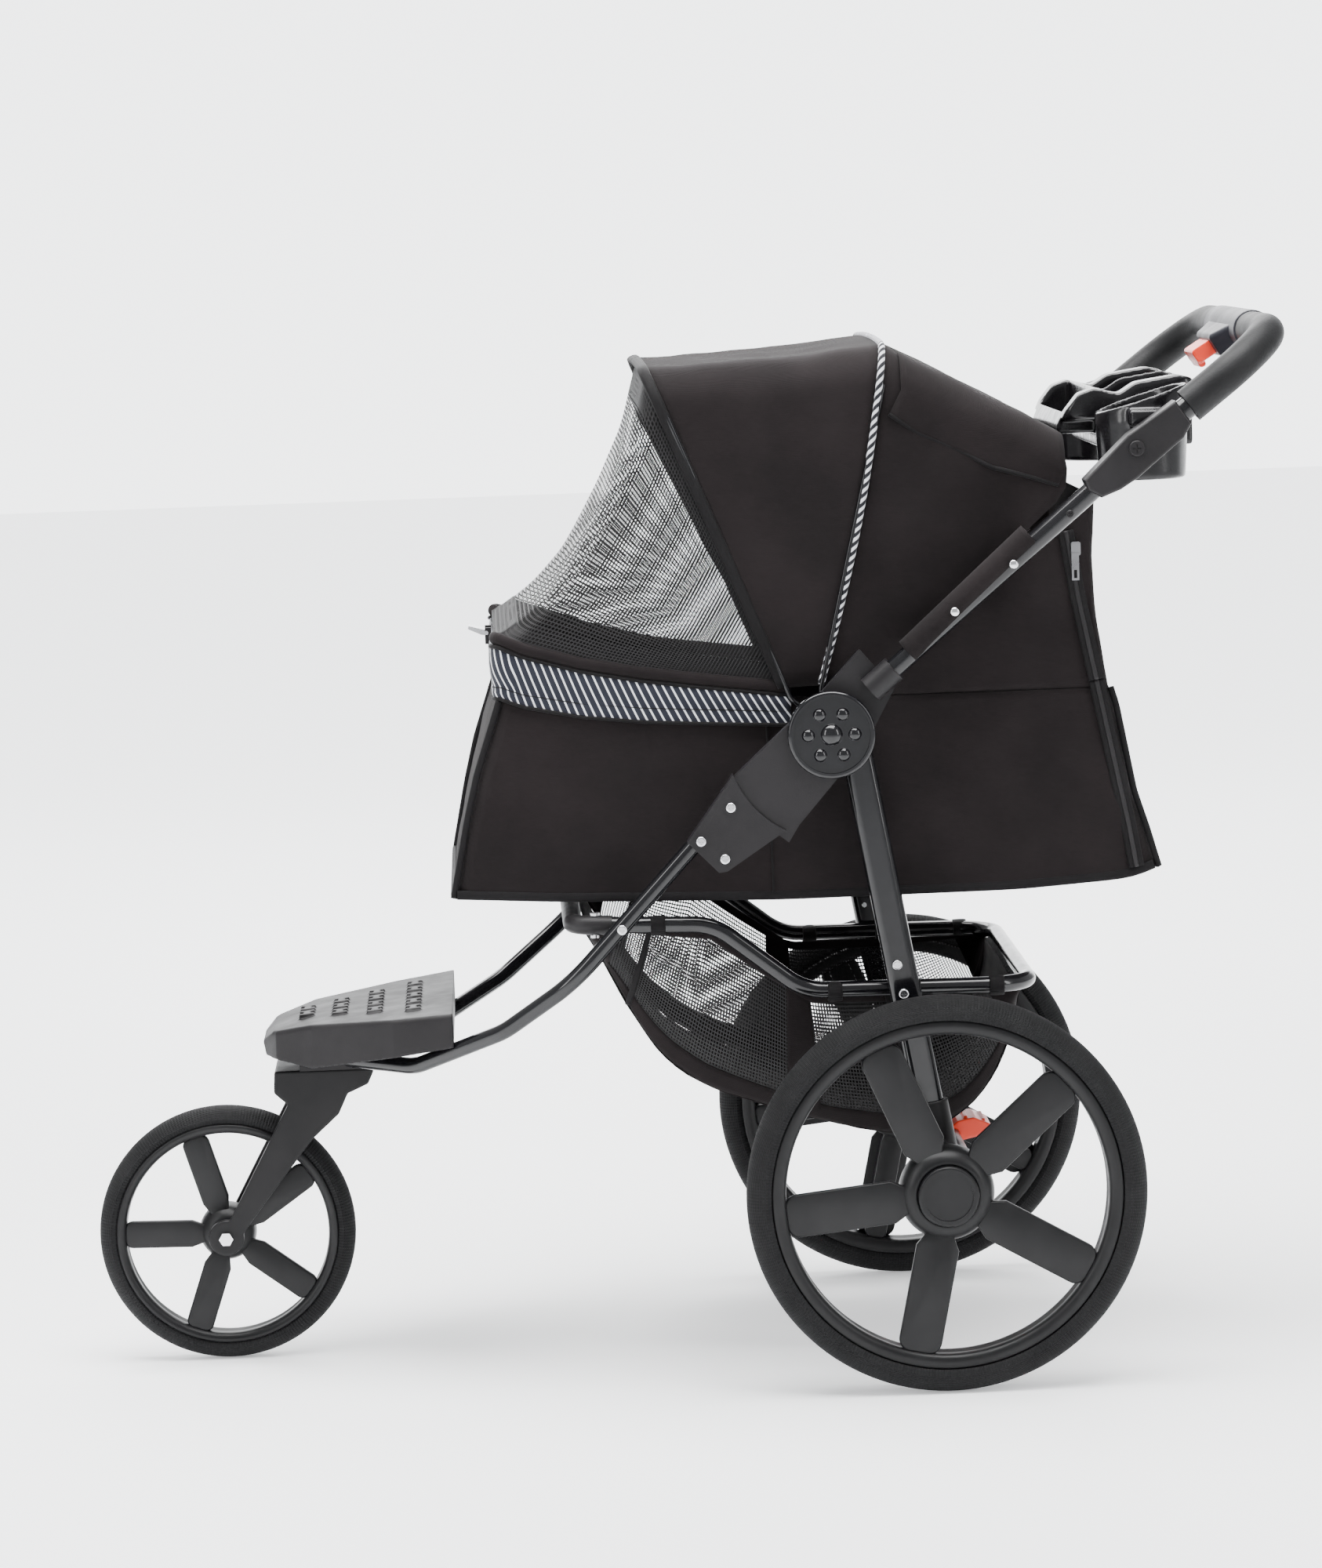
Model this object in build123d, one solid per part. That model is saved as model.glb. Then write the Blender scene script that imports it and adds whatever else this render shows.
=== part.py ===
from build123d import *
import os
from math import atan2, cos, degrees, hypot, pi, radians, sin

# Three-wheel pet stroller. Millimetres, +X forward, +Y the stroller's left, +Z up.
# Every size below is measured from the rear axle (X = 0), the centre plane (Y = 0)
# and the floor (Z = 0). SHIFT_X then puts the origin under the middle of the box.

# wheels
REAR_R = 190.0
FRONT_R = 127.0
WHEELBASE = 694.0
REAR_TRACK = 280.0          # wheel plane to centre plane
TYRE_WIDTH = 38.0
REAR_PHASE = 66.0           # angle of one spoke above +X
FRONT_PHASE = 1.0
AXLE_R = 6.0
RUN = 0.05                  # radial running clearance

# frame pivots (x, z)
HUB = (94.0, 626.0)         # handle fold axis
LEG_TOP = (71.0, 620.0)     # leg pin, offset from the hub
LEG_FOOT = (-3.0, 190.0)    # the leg's line at axle height
BASKET_PIN = (297.0, 446.0)
LEG_BOLTS = ((36.4, 400.8), (31.0, 373.0))

# side layers at the hub, from the cabin outwards
TUB_Y = 186.0
FRONT_BOW_Y = 195.2
MID_BOW_Y = 200.6
BOW_R = 2.2
BASKET_Y = 197.0
LEG_Y = (206.0, 221.0)
HUB_PLATE_Y = (223.0, 231.0)
ARM_Y = (233.0, 246.0)
ARM_PROUD_Y = 249.0
COVER_Y = 246.0

# tubes
FRAME_R = 8.0
HANDLE_R = 9.5
LOOP_R = 11.0
GRIP_R = 17.0
WALL = 1.3

# handle
UPPER_START = (52.0, 668.5, 236.0)
UPPER_END = (-210.0, 892.5, 258.5)
LOOP_START = (-213.0, 895.5, 259.0)
LOOP_TOP = (-333.0, 988.0)
LOOP_Y = 258.0
HOUSING_HALF = 105.0
HOUSING_R = 18.5
TRIGGER_DIR = (0.85, -0.527)
TUBE_SCREW = (-135.0, 826.5)

# tray
CUP = (-213.0, 187.0)
CUP_R = 37.0
CUP_FLOOR = 857.0
CUP_WALL_TOP = 917.0
CUP_TOP = [(-262, 944), (-247, 941), (-171, 918), (-160, 917.5), (-160, 850), (-262, 850)]
DECK_TOP = [(-279, 925), (-277, 937), (-269, 945), (-256, 948), (-216, 942), (-200, 932), (-190, 934),
            (-176, 938), (-161, 933), (-148, 917), (-139, 897), (-139, 880), (-279, 880)]

# cabin
CLOTH = 4.0
TUB = [(-214, 482), (-198, 473), (-80, 467), (355, 470), (430, 474), (452, 477),
       (427, 593), (401, 655), (404, 712), (280, 675), (130, 655), (-178, 655)]
RIM_TOP = [(136, 664), (213, 673), (269, 681), (326, 692), (382, 710), (410, 722)]
RIM_BOTTOM = [(410, 666), (336, 654), (271, 642), (185, 629), (136, 624)]
FRONT_BOW = (253.0, 968.0)
MID_BOW = (24.0, 982.0)

# step
STEP_TOP = [(461, 359), (600, 344), (638, 334), (650, 322)]
STEP_BOTTOM = [(647, 308), (600, 301), (461, 326)]
STEP_PLAN = [(461, 150), (520, 132), (600, 88), (636, 58), (650, 30)]
SWIVEL_X = 593.0

# brake
BRAKE_AXIS = (-30.0, 200.0)
BRAKE_PIN_R = 32.0

SHIFT_X = -234.75


def save(shape, name):
    """Write one sub-part, moved from the rear-axle frame to the model's own frame."""
    export_step(Pos(SHIFT_X, 0, 0) * shape, f"parts/{name}.step")


def save_pair(shape, name):
    save(shape, f"{name}_left")
    save(mirror(shape, about=Plane.XZ), f"{name}_right")


def both_sides(shape):
    return shape + mirror(shape, about=Plane.XZ)


def group(shapes):
    """Several separate solids in one node."""
    return Compound(children=[s for shape in shapes for s in shape.solids()])


def both(*shapes):
    """One node of separate solids: these shapes and their mirror images."""
    return group(list(shapes) + [mirror(s, about=Plane.XZ) for s in shapes])


def slab(points, y0, y1):
    """A polygon in the side view (x, z), extruded from y0 to y1."""
    face = Plane.XZ.offset(-y1) * make_face(Polyline(points, close=True))
    return extrude(face, y1 - y0)


def rod(x, z, r, y0, y1):
    return Pos(x, (y0 + y1) / 2, z) * Rot(90, 0, 0) * Cylinder(r, y1 - y0)


def tube(points, bends, r, wall=0.0):
    """A round tube along straight runs joined by tangent bends."""
    path = FilletPolyline(*points, radius=bends) if bends else Line(*points)
    section = Circle(r) - Circle(r - wall) if wall else Circle(r)
    return sweep(Plane(path @ 0, z_dir=path % 0) * section, path=path)


def along(a, b, t):
    return tuple(p + (q - p) * t for p, q in zip(a, b))


def pan_head(x, z, y, r=4.9, height=3.0, shank_r=2.5, shank=14.0):
    """A round-headed cross-recess fastener whose head stands out towards +Y."""
    head = rod(x, z, r, y, y + height)
    head = fillet(head.edges().filter_by(GeomType.CIRCLE).sort_by(Axis.Y)[-1], height * 0.6)
    slot = Pos(x, y + height, z) * (Box(r * 1.1, 1.6, 1.2) + Box(1.2, 1.6, r * 1.1))
    return head - slot + rod(x, z, shank_r, y - shank, y)


def arc_points(x, z, r, start, end, steps):
    span = [radians(start + (end - start) * i / steps) for i in range(steps + 1)]
    return [(x + r * cos(a), z + r * sin(a)) for a in span]


# ---------------------------------------------------------------- front frame
FRONT_TUBE = [(178, 225, 574.5), (345, 222, 396), (412, 180, 345), (500, 104, 302), (578, 44, 304)]
FRONT_BENDS = (110, 90, 60)
ARM_RIVETS = ((191, 560.6), (220, 529.5), (198, 512))


def front_tube():
    shape = tube(FRONT_TUBE, FRONT_BENDS, FRAME_R, WALL)
    for x, z in (BASKET_PIN, ARM_RIVETS[0], ARM_RIVETS[1]):
        shape -= rod(x, z, 3.0, 205, 240)
    return shape


def lower_arm():
    """The moulded arm: a disc on the hub, a band, and a thicker plate riveted to the tube."""
    inner, outer = ARM_Y
    hx, hz = HUB
    arc = arc_points(hx, hz, 100, -20, -63, 8)
    band = slab([(hx + 33, hz + 17), (186, 590), (200, 575), (137, 525), (127, 541), (hx - 10, hz - 36),
                 (hx, hz)], inner, outer)
    plate = slab(arc + [(196, 500), (204, 499), (233, 529), (194, 582)], inner, ARM_PROUD_Y)
    shape = rod(hx, hz, 38, inner, outer) + (band - rod(hx, hz, 99, 200, 300).intersect(plate)) + plate
    shape -= rod(hx, hz, 5.0, 200, 300)
    for x, z in ARM_RIVETS:
        shape -= rod(x, z, 2.5, 200, 300)
    return shape


def hub_cover():
    """A round cover with a raised ring, and a plain rosette of domes in its middle."""
    hx, hz = HUB
    base = rod(hx, hz, 41.5, COVER_Y, COVER_Y + 9)
    base = fillet(base.edges().filter_by(GeomType.CIRCLE).sort_by(Axis.Y)[-1], 3)
    base -= rod(hx, hz, 36.5, COVER_Y + 6, COVER_Y + 12)
    base -= rod(hx, hz, 9.0, COVER_Y - 1, COVER_Y + 4.5)
    spots = [(0, 0, 12.5)] + [(22 * cos(a), 22 * sin(a), 7.5) for a in (i * pi / 3 for i in range(6))]
    for dx, dz, r in spots:
        dome = Pos(hx + dx, COVER_Y + 6 - r * 0.55, hz + dz) * Sphere(r)
        base += dome & rod(hx, hz, 36, COVER_Y + 5, COVER_Y + 14)
    return base


def frame_bolts():
    """The arm rivets, and the bolts that the basket frame turns on."""
    left = [pan_head(x, z, ARM_PROUD_Y, shank=17) for x, z in ARM_RIVETS]
    left.append(pan_head(*BASKET_PIN, 231.5, shank=45.0, shank_r=3.0))
    return both(*left)


def hub_bolt():
    """The fold axis: a bolt through the turning plate and the arm."""
    hx, hz = HUB
    shape = rod(hx, hz, 5.0, HUB_PLATE_Y[0], COVER_Y)
    shape += rod(hx, hz, 8.0, LEG_Y[1] + 0.3, HUB_PLATE_Y[0])
    return shape + rod(hx, hz, 8.0, COVER_Y, COVER_Y + 4)


def bow_stud():
    """The stud on the cabin's side that both canopy wires turn on, in line with the fold axis."""
    hx, hz = HUB
    return rod(hx, hz, 5.0, TUB_Y, 202.4) + rod(hx, hz, 8.0, 202.4, 204.6)


def step_shell():
    """A wedge-shaped moulded footrest with a hollow underside and rows of raised cleats."""
    side = slab(STEP_TOP + STEP_BOTTOM, -160, 160)
    half = STEP_PLAN + [(x, -y) for x, y in reversed(STEP_PLAN)]
    plan = extrude(Pos(0, 0, 280) * make_face(Polyline(half, close=True)), 100)
    outer = side & plan
    outer = fillet(outer.edges().filter_by_position(Axis.Z, 321, 360).filter_by_position(Axis.X, 462, 700), 5)
    core_side = slab([(464, 355), (600, 340), (634, 331), (645, 320), (643, 290), (464, 290)], -160, 160)
    core_half = [(464, 145), (519, 128), (598, 85), (632, 56), (645, 28)]
    core_half += [(x, -y) for x, y in reversed(core_half)]
    core = core_side & extrude(Pos(0, 0, 250) * make_face(Polyline(core_half, close=True)), 130)
    shape = outer - core
    rows = ((606, 2, 34), (573, 3, 36), (538, 4, 38), (500, 5, 40))
    slope = degrees(atan2(359 - 344, 600 - 461))
    for x, count, pitch in rows:
        z = 359 + (x - 461) * (344 - 359) / (600 - 461)
        for i in range(count):
            y = (i - (count - 1) / 2) * pitch
            cleat = Box(7, 18, 6) + Pos(0, 9, 0) * Box(15, 6, 6) + Pos(0, -9, 0) * Box(15, 6, 6)
            shape += Pos(x, y, z) * Rot(0, slope, 0) * cleat
    return shape - both_sides(tube(FRONT_TUBE, FRONT_BENDS, FRAME_R + 0.4))


def fork_socket():
    """The block under the step that holds both tubes and the caster's bush."""
    body = Pos(SWIVEL_X - 12, 0, 305) * Box(66, 116, 22)
    body += Pos(SWIVEL_X, 0, 308) * Cylinder(20, 30)
    tubes = tube(FRONT_TUBE, FRONT_BENDS, FRAME_R)
    body -= both_sides(tubes)
    return body - Pos(SWIVEL_X, 0, 300) * Cylinder(8 + RUN, 60)


# ---------------------------------------------------------------- cabin
def cabin_tub():
    outer = slab(TUB, -TUB_Y, TUB_Y)
    inner_face = offset(make_face(Polyline(TUB, close=True)), -CLOTH)
    half = TUB_Y - CLOTH
    inner = extrude(Plane.XZ.offset(-half) * inner_face, 2 * half)
    mouth = slab([(-175, 640), (396, 640), (396, 760), (-175, 760)], -half, half)
    return outer - inner - mouth


def floor_board():
    board = Pos(114, 0, 481.6) * Box(600, 350, 5)
    return fillet(board.edges().filter_by(Axis.Z), 18)


def cabin_mat():
    mat = Pos(112, 0, 496.3) * Box(580, 340, 24)
    mat = fillet(mat.edges().filter_by(Axis.Z), 24)
    return fillet(mat.edges().filter_by_position(Axis.Z, 508, 509), 9)


def rim_band():
    """The padded, striped band round the front of the cabin's mouth."""
    band = slab(RIM_TOP + RIM_BOTTOM, -191.5, 191.5)
    inside = slab([(100, 600), (404.2, 600), (404.2, 760), (100, 760)], -TUB_Y - 0.1, TUB_Y + 0.1)
    return band - inside


def bow(top, knee, half_width):
    """A canopy wire: a flat eye on the fold axis at each side, legs, and a cross run."""
    hx, hz = HUB
    reach = hypot(knee[0] - hx, knee[1] - hz)
    start = along((hx, hz), knee, 12 / reach)
    points = [(start[0], half_width, start[1]), (knee[0], half_width, knee[1]), (top[0], half_width, top[1])]
    points += [(x, -y, z) for x, y, z in reversed(points)]
    wire = tube(points, (20, 55, 55, 20), BOW_R)
    eye = rod(hx, hz, 13, half_width - 1.2, half_width + 1.2)
    return wire + both_sides(eye) - rod(hx, hz, 5 + RUN, -215, 215)


def cloth_section(side, top, half_width, wall=3.0):
    """Two side cloths and the sheet across between them."""
    cheek = slab(side, half_width - wall, half_width)
    lower = [(x, z - wall) for x, z in reversed(top)]
    return both_sides(cheek) + slab(top + lower, wall - half_width, half_width - wall)


def canopy_hood():
    top = [(30, 976), (135, 970), (215, 966), (246, 965)]
    side = top + [(131, 668), (105, 668)]
    return cloth_section(side, top, 192.5)


def rear_canopy():
    top = [(-133, 880), (-126, 886), (-66, 924), (2, 958), (14, 972)]
    side = top + [(94, 668), (68, 668), (-133, 838)]
    return cloth_section(side, top, 192.5)


def rear_panel():
    side = [(60, 658), (62, 664), (-140, 834), (-163, 830), (-166, 728), (-177, 658)]
    cheek = slab(side, 188, 191)
    back = slab([(-177, 658), (-166, 728), (-163, 830), (-160, 830), (-163, 728), (-174, 658)], -188, 188)
    return both_sides(cheek) + back


def mesh_window():
    top = [(262, 958), (273, 905), (299, 849), (318, 815), (337, 783), (367, 751), (395, 731), (404, 726)]
    side = top + [(380, 717), (280, 689), (140, 671), (142, 677)]
    cheek = slab(side, 187, 190)
    sheet = slab(top + [(x - 3, z - 1) for x, z in reversed(top)], -187, 187)
    return both_sides(cheek) + sheet


# ---------------------------------------------------------------- handle frame
def upper_path():
    return [(UPPER_START[0], UPPER_START[2], UPPER_START[1]), (UPPER_END[0], UPPER_END[2], UPPER_END[1])]


def upper_tube():
    return tube(upper_path(), None, HANDLE_R, WALL) - rod(*TUBE_SCREW, 1.55, 255, 265)


def loop_points():
    start = (LOOP_START[0], LOOP_START[2], LOOP_START[1])
    corner = (LOOP_TOP[0], LOOP_Y, LOOP_TOP[1])
    return [start, corner, (corner[0], -corner[1], corner[2]), (start[0], -start[1], start[2])]


def loop_solid(r, wall=0.0):
    return tube(loop_points(), (72, 72), r, wall)


def hub_plate():
    """The turning half of the hub: a disc, a socket for the tube, and the leg's pin."""
    inner, outer = HUB_PLATE_Y
    hx, hz = HUB
    disc = rod(hx, hz, 38, inner, outer)
    web = slab([(hx + 12, hz + 34), (hx - 30, hz + 78), (hx - 62, hz + 40), (hx - 26, hz - 26)], inner, outer)
    a, b = upper_path()
    socket = tube([along(a, b, -0.012), along(a, b, 0.075)], None, HANDLE_R + 3.5)
    shape = disc + web + socket
    shape -= tube([along(a, b, 0.0), along(a, b, 0.1)], None, HANDLE_R)
    shape -= rod(hx, hz, 5 + RUN, 200, 260)
    x, z = LEG_TOP
    return shape + rod(x, z, 4.0, LEG_Y[0], inner)


def tube_cover():
    """The two-part moulding that joins the tube to the grip loop and carries the tray."""
    outline = [(-148, 858), (-152, 848), (-164, 841), (-182, 848), (-198, 858), (-242, 894),
               (-250, 908), (-235, 929), (-190, 899)]
    shape = slab(outline, 246, 274)
    outer_edges = shape.edges().filter_by_position(Axis.Y, 273.9, 274.1)
    shape = fillet(outer_edges, 3)
    a, b = upper_path()
    shape -= tube([a, b], None, HANDLE_R)
    shape -= loop_solid(LOOP_R)
    return shape - rod(-197.6, 886, 5.0, 268, 280)


def cover_buttons():
    left = [pan_head(-197.6, 886, 274, r=7.5, height=2.6, shank_r=4.9, shank=5.5),
            pan_head(*TUBE_SCREW, 261.9, r=3.6, height=2.0, shank_r=1.5, shank=3.0)]
    return both(*left)


def grip_half():
    """One side's foam grip: a sleeve on the loop, from the cover to the trigger housing."""
    sleeve = loop_solid(GRIP_R, GRIP_R - LOOP_R)
    keep = Pos(-300, 160 + HOUSING_HALF, 960) * Box(260, 320, 300)
    cut_dir = (LOOP_TOP[0] - LOOP_START[0], LOOP_TOP[1] - LOOP_START[1])
    angle = degrees(atan2(cut_dir[1], cut_dir[0]))
    lower = Pos(-249, 260, 923) * Rot(0, -angle, 0) * Pos(-60, 0, 0) * Box(120, 80, 80)
    return (sleeve & keep) - lower


def trigger_frame(x, y, z):
    """A point given across, along Y and down the trigger's travel line, in the side view."""
    tx, tz = TRIGGER_DIR
    turn = Location((LOOP_TOP[0], 0, LOOP_TOP[1]), (0, degrees(atan2(tx, tz)), 0))
    return turn * Pos(x, y, z)


def trigger_housing():
    """The moulding round the middle of the handle, with a broad nose that holds the trigger."""
    shape = rod(*LOOP_TOP, HOUSING_R, -HOUSING_HALF + 0.1, HOUSING_HALF - 0.1)
    shape = fillet(shape.edges().filter_by(GeomType.CIRCLE), 1.5)
    outline = Polyline((-92, 2), (-72, 16), (-46, 34), (46, 34), (72, 16), (92, 2), close=True)
    nose = extrude(Plane.YZ * make_face(outline), 13, both=True)
    nose = fillet(nose.edges().filter_by_position(Axis.Z, 10, 40), 5)
    shape += trigger_frame(0, 0, 0) * nose
    shape -= trigger_frame(0, 0, 27) * Box(15.4, 60.4, 24)
    return shape - rod(*LOOP_TOP, LOOP_R, -120, 120)


def fold_trigger():
    lever = trigger_frame(0, 0, 39) * Box(15, 60, 30)
    lever = fillet(lever.edges().filter_by(Axis.Y), 3)
    grip_lip = trigger_frame(2.5, 0, 50.5) * Box(20, 48, 7)
    return lever + fillet(grip_lip.edges().filter_by(Axis.Y), 2.5)


def tray():
    """A moulded tray: two cup holders, a divided middle pocket and a low front pocket."""
    cx, cy = CUP
    deck = extrude(Pos(-209, 0, 908) * RectangleRounded(140, 262, 22), 60)
    deck += Pos(-226, 0, 900) * Box(92, 230, 40) + Pos(-162, 0, 903) * Box(42, 220, 18)
    shape = (deck & slab(DECK_TOP, -140, 140)) + Pos(cx, 0, 913) * Box(34, 491.6, 14)
    rims = [extrude(Pos(cx, side * cy, 906) * Circle(44), 60) for side in (-1, 1)]
    shape += (rims[0] + rims[1]) & slab(CUP_TOP, -240, 240)
    for side in (-1, 1):
        shape += Pos(cx, side * cy, (CUP_FLOOR + 908) / 2) * Cone(41, 44, 908 - CUP_FLOOR + 8)
    for side in (-1, 1):
        shape -= Pos(cx, side * cy, (CUP_FLOOR + 990) / 2) * Cylinder(CUP_R, 990 - CUP_FLOOR)
        shape -= Pos(cx, side * cy, CUP_WALL_TOP + 30) * Cylinder(CUP_R + 2.5, 60)
        shape -= Pos(-228, side * 51, 922) * Box(78, 98, 76)
    return shape - Pos(-163, 0, 928) * Box(30, 204, 60)


# ---------------------------------------------------------------- rear frame
def leg_frame(t):
    """A plane across the leg, t mm up from axle height along its line."""
    x0, z0 = LEG_FOOT
    x1, z1 = LEG_TOP
    length = hypot(x1 - x0, z1 - z0)
    ux, uz = (x1 - x0) / length, (z1 - z0) / length
    mid = (LEG_Y[0] + LEG_Y[1]) / 2
    return Plane((x0 + ux * t, mid, z0 + uz * t), x_dir=(uz, 0, -ux), z_dir=(ux, 0, uz))


LEG_LENGTH = hypot(LEG_TOP[0] - LEG_FOOT[0], LEG_TOP[1] - LEG_FOOT[1])
LEG_START = 46.0
SOCKET_TOP = 78.0


def leg_oval(t, length, width, depth, wall=0.0):
    section = SlotOverall(width, depth)
    if wall:
        section -= SlotOverall(width - 2 * wall, depth - 2 * wall)
    return extrude(leg_frame(t) * section, length)


def leg():
    shape = leg_oval(LEG_START, LEG_LENGTH + 14 - LEG_START, 30, 15, 1.5)
    shape -= rod(*LEG_TOP, 4.0 + RUN, 190, 240)
    for x, z in LEG_BOLTS:
        shape -= rod(x, z, 2.5, 190, 240)
    return shape


def leg_bolts():
    left = [pan_head(x, z, LEG_Y[1], shank=15) for x, z in LEG_BOLTS]
    return both(*left)


def leg_socket():
    """The moulded foot of a leg: it holds the leg, the axle tube, the brake rod and a pin."""
    shape = leg_oval(8, SOCKET_TOP - 8, 38, 23)
    shape += rod(0, 190, 19, 202, 243)
    shape += rod(0, 190 + BRAKE_PIN_R, 9, 208, 243)
    shape += slab([(-2, 208), (-30, 209), (-40, 200), (-30, 191), (-2, 174)], 202, 225)
    shape -= leg_oval(LEG_START, 200, 30, 15)
    shape -= rod(0, 190, AXLE_R, 190, 260)
    shape -= rod(0, 190, 11, 190, 212)
    shape -= rod(0, 190 + BRAKE_PIN_R, 4 + RUN, 222, 260)
    return shape - rod(*BRAKE_AXIS, 5 + RUN, 190, 217)


def cross_tube():
    return rod(0, 190, 11, -212, 212) - rod(0, 190, AXLE_R + 1.5, -230, 230)


def rear_axle():
    return rod(0, 190, AXLE_R, -295.5, 295.5)


def brake_pedal():
    """A broad foot pedal with three ribs on top, clamped on the brake rod."""
    x, z = BRAKE_AXIS
    body = slab([(x + 7, z + 4), (x - 4, z + 13), (x - 20, z + 16), (x - 36, z + 9), (x - 40, z + 2),
                 (x - 30, z - 2), (x - 6, z - 7)], -27, 27)
    body = fillet(body.edges().filter_by(Axis.Y), 2)
    for i in range(3):
        body += Pos(x - 12 - 9 * i, 0, z + 15 - 1.6 * i) * Box(3.5, 44, 4)
    body -= Pos(x - 20, 0, z) * Box(20, 44, 12)
    return body - rod(x, z, 5, -40, 40)


def brake_rod():
    return rod(*BRAKE_AXIS, 5, -216, 216)


def brake_pin():
    z = 190 + BRAKE_PIN_R
    return chamfer(rod(0, z, 4, 224, 252).edges().filter_by(GeomType.CIRCLE), 0.8)


# ---------------------------------------------------------------- basket frame
BASKET_PATH = [(312, BASKET_Y, 446.5), (209, BASKET_Y, 443), (124, BASKET_Y, 376), (-94, BASKET_Y, 374)]


def basket_tube():
    points = BASKET_PATH + [(x, -y, z) for x, y, z in reversed(BASKET_PATH)]
    shape = tube(points, (60, 60, 45, 45, 60, 60), FRAME_R, WALL)
    x, z = BASKET_PIN
    return shape - rod(x, z, 3 + RUN, -260, 260)


def basket_front_bar():
    points = [(306, BASKET_Y, 446.3), (343, BASKET_Y, 447.5), (343, -BASKET_Y, 447.5), (306, -BASKET_Y, 446.3)]
    shape = tube(points, (18, 18), FRAME_R + 1.2, 1.15)
    for side in (-1, 1):
        shape -= Pos(322, side * BASKET_Y, 447) * Cylinder(2.5, 40)
    return shape


def bar_bolts():
    bolts = []
    for side in (-1, 1):
        shank = Cylinder(2.5, 19.5)
        heads = Pos(0, 0, 10.7) * Cylinder(5, 2.6) + Pos(0, 0, -10.7) * Cylinder(4.4, 2.6)
        bolts.append(Pos(322, side * BASKET_Y, 446.8) * (shank + heads))
    return group(bolts)


def basket_bag():
    outer = [(331, 437), (286, 351), (267, 312), (240, 285), (156, 258), (64, 229), (30, 222),
             (-10, 226), (-50, 262), (-78, 310), (-83, 366), (120, 366), (207, 433)]
    half = 185.0
    shape = slab(outer, -half, half)
    inner_face = offset(make_face(Polyline(outer, close=True)), -3)
    core = extrude(Plane.XZ.offset(-(half - 3)) * inner_face, 2 * (half - 3))
    mouth = slab([(326, 431), (290, 365), (-79, 350), (-79, 480), (326, 480)], 3 - half, half - 3)
    return shape - core - mouth


# ---------------------------------------------------------------- wheels
def wheel_tyre(radius, depth, width):
    """A foam tyre: a rounded tread with a shallow groove pattern and a flat inner seat."""
    half = width / 2
    inner = radius - depth
    section = Polyline((inner, -half + 4), (inner, half - 4), (inner + 5, half - 1))
    section += ThreePointArc((inner + 5, half - 1), (radius, 0), (inner + 5, 1 - half))
    section += Line((inner + 5, 1 - half), (inner, -half + 4))
    return Rot(90, 0, 0) * revolve(Plane.XZ * make_face(section), Axis.Z)


def paddle(r0, r1, width, y0, y1):
    """One flat spoke with a rounded outer end, along +X, between two Y planes."""
    length = r1 - r0
    bar = Pos((r0 + r1 - width / 2) / 2, (y0 + y1) / 2, 0) * Box(length - width / 2, y1 - y0, width)
    return bar + rod(r1 - width / 2, 0, width / 2, y0, y1)


def wheel_rim(seat_r, rim_inner, width, hub_r, spoke_w, phase, notches):
    """A moulded rim, hub and five paddle spokes, in the wheel's own frame, outside towards +Y."""
    half = width / 2
    ring = rod(0, 0, seat_r, -half + 4, half - 4) - rod(0, 0, rim_inner, -half, half)
    hub = rod(0, 0, hub_r, -half - 5, half - 3)
    hub = fillet(hub.edges().filter_by(GeomType.CIRCLE).sort_by(Axis.Y)[-1], 7)
    shape = ring + hub
    for i in range(5):
        arm = paddle(hub_r - 8, rim_inner - 3, spoke_w, half - 12, half - 6)
        web = Pos((hub_r + rim_inner) / 2 - 2, -2, 0) * Box(rim_inner - hub_r + 8, 2 * half - 14, 7)
        shape += Rot(0, -(phase + 72 * i), 0) * (arm + web)
    for i in range(notches):
        a = 2 * pi * i / notches + pi / 2
        shape -= rod(BRAKE_PIN_R * cos(a), BRAKE_PIN_R * sin(a), 5.5, -half - 6, -half + 3)
    return shape


def hub_cap(cap_r, y0, height):
    cap = rod(0, 0, cap_r, y0, y0 + height)
    cap = fillet(cap.edges().filter_by(GeomType.CIRCLE).sort_by(Axis.Y)[-1], height * 0.45)
    return cap - rod(0, 0, cap_r - 6, y0 + height - 1.2, y0 + height + 1)


def rear_wheel():
    half = TYRE_WIDTH / 2
    place = Pos(0, REAR_TRACK, 190)
    tyre = wheel_tyre(REAR_R, 23, TYRE_WIDTH)
    rim = wheel_rim(167, 153, TYRE_WIDTH, 44, 41, REAR_PHASE, 10)
    rim -= rod(0, 0, AXLE_R + RUN, -60, 60)
    cap = hub_cap(29, half - 3, 6)
    return place * tyre, place * rim, place * cap


# ---------------------------------------------------------------- fork and front wheel
FRONT_HUB = (WHEELBASE, 127.0)
FORK_IN = 29.0
FORK_OUT = 40.0


def fork():
    """A moulded caster fork: a crown under the step and an arm down each side of the wheel."""
    fx, fz = FRONT_HUB
    arm = [(640, 285), (641, 270), (628, 258), (fx - 4, fz + 17), (fx - 17, fz + 4), (fx - 40, fz + 34),
           (606, 222), (578, 247), (568, 268), (548, 276), (542, 289)]
    cheek = slab(arm, FORK_IN, FORK_OUT) + rod(fx, fz, 17.5, FORK_IN, FORK_OUT)
    crown = slab([(640, 291.5), (641, 271), (600, 262), (566, 268), (548, 276), (542, 291.5)], -FORK_OUT, FORK_OUT)
    shape = both_sides(cheek) + crown
    shape -= rod(fx, fz, FRONT_R + 6, -FORK_IN, FORK_IN)
    shape -= rod(fx, fz, 5.0, -60, 60)
    return shape - Pos(SWIVEL_X, 0, 280) * Cylinder(8, 30)


def fork_stem():
    return Pos(SWIVEL_X, 0, 297) * Cylinder(8, 50)


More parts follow.
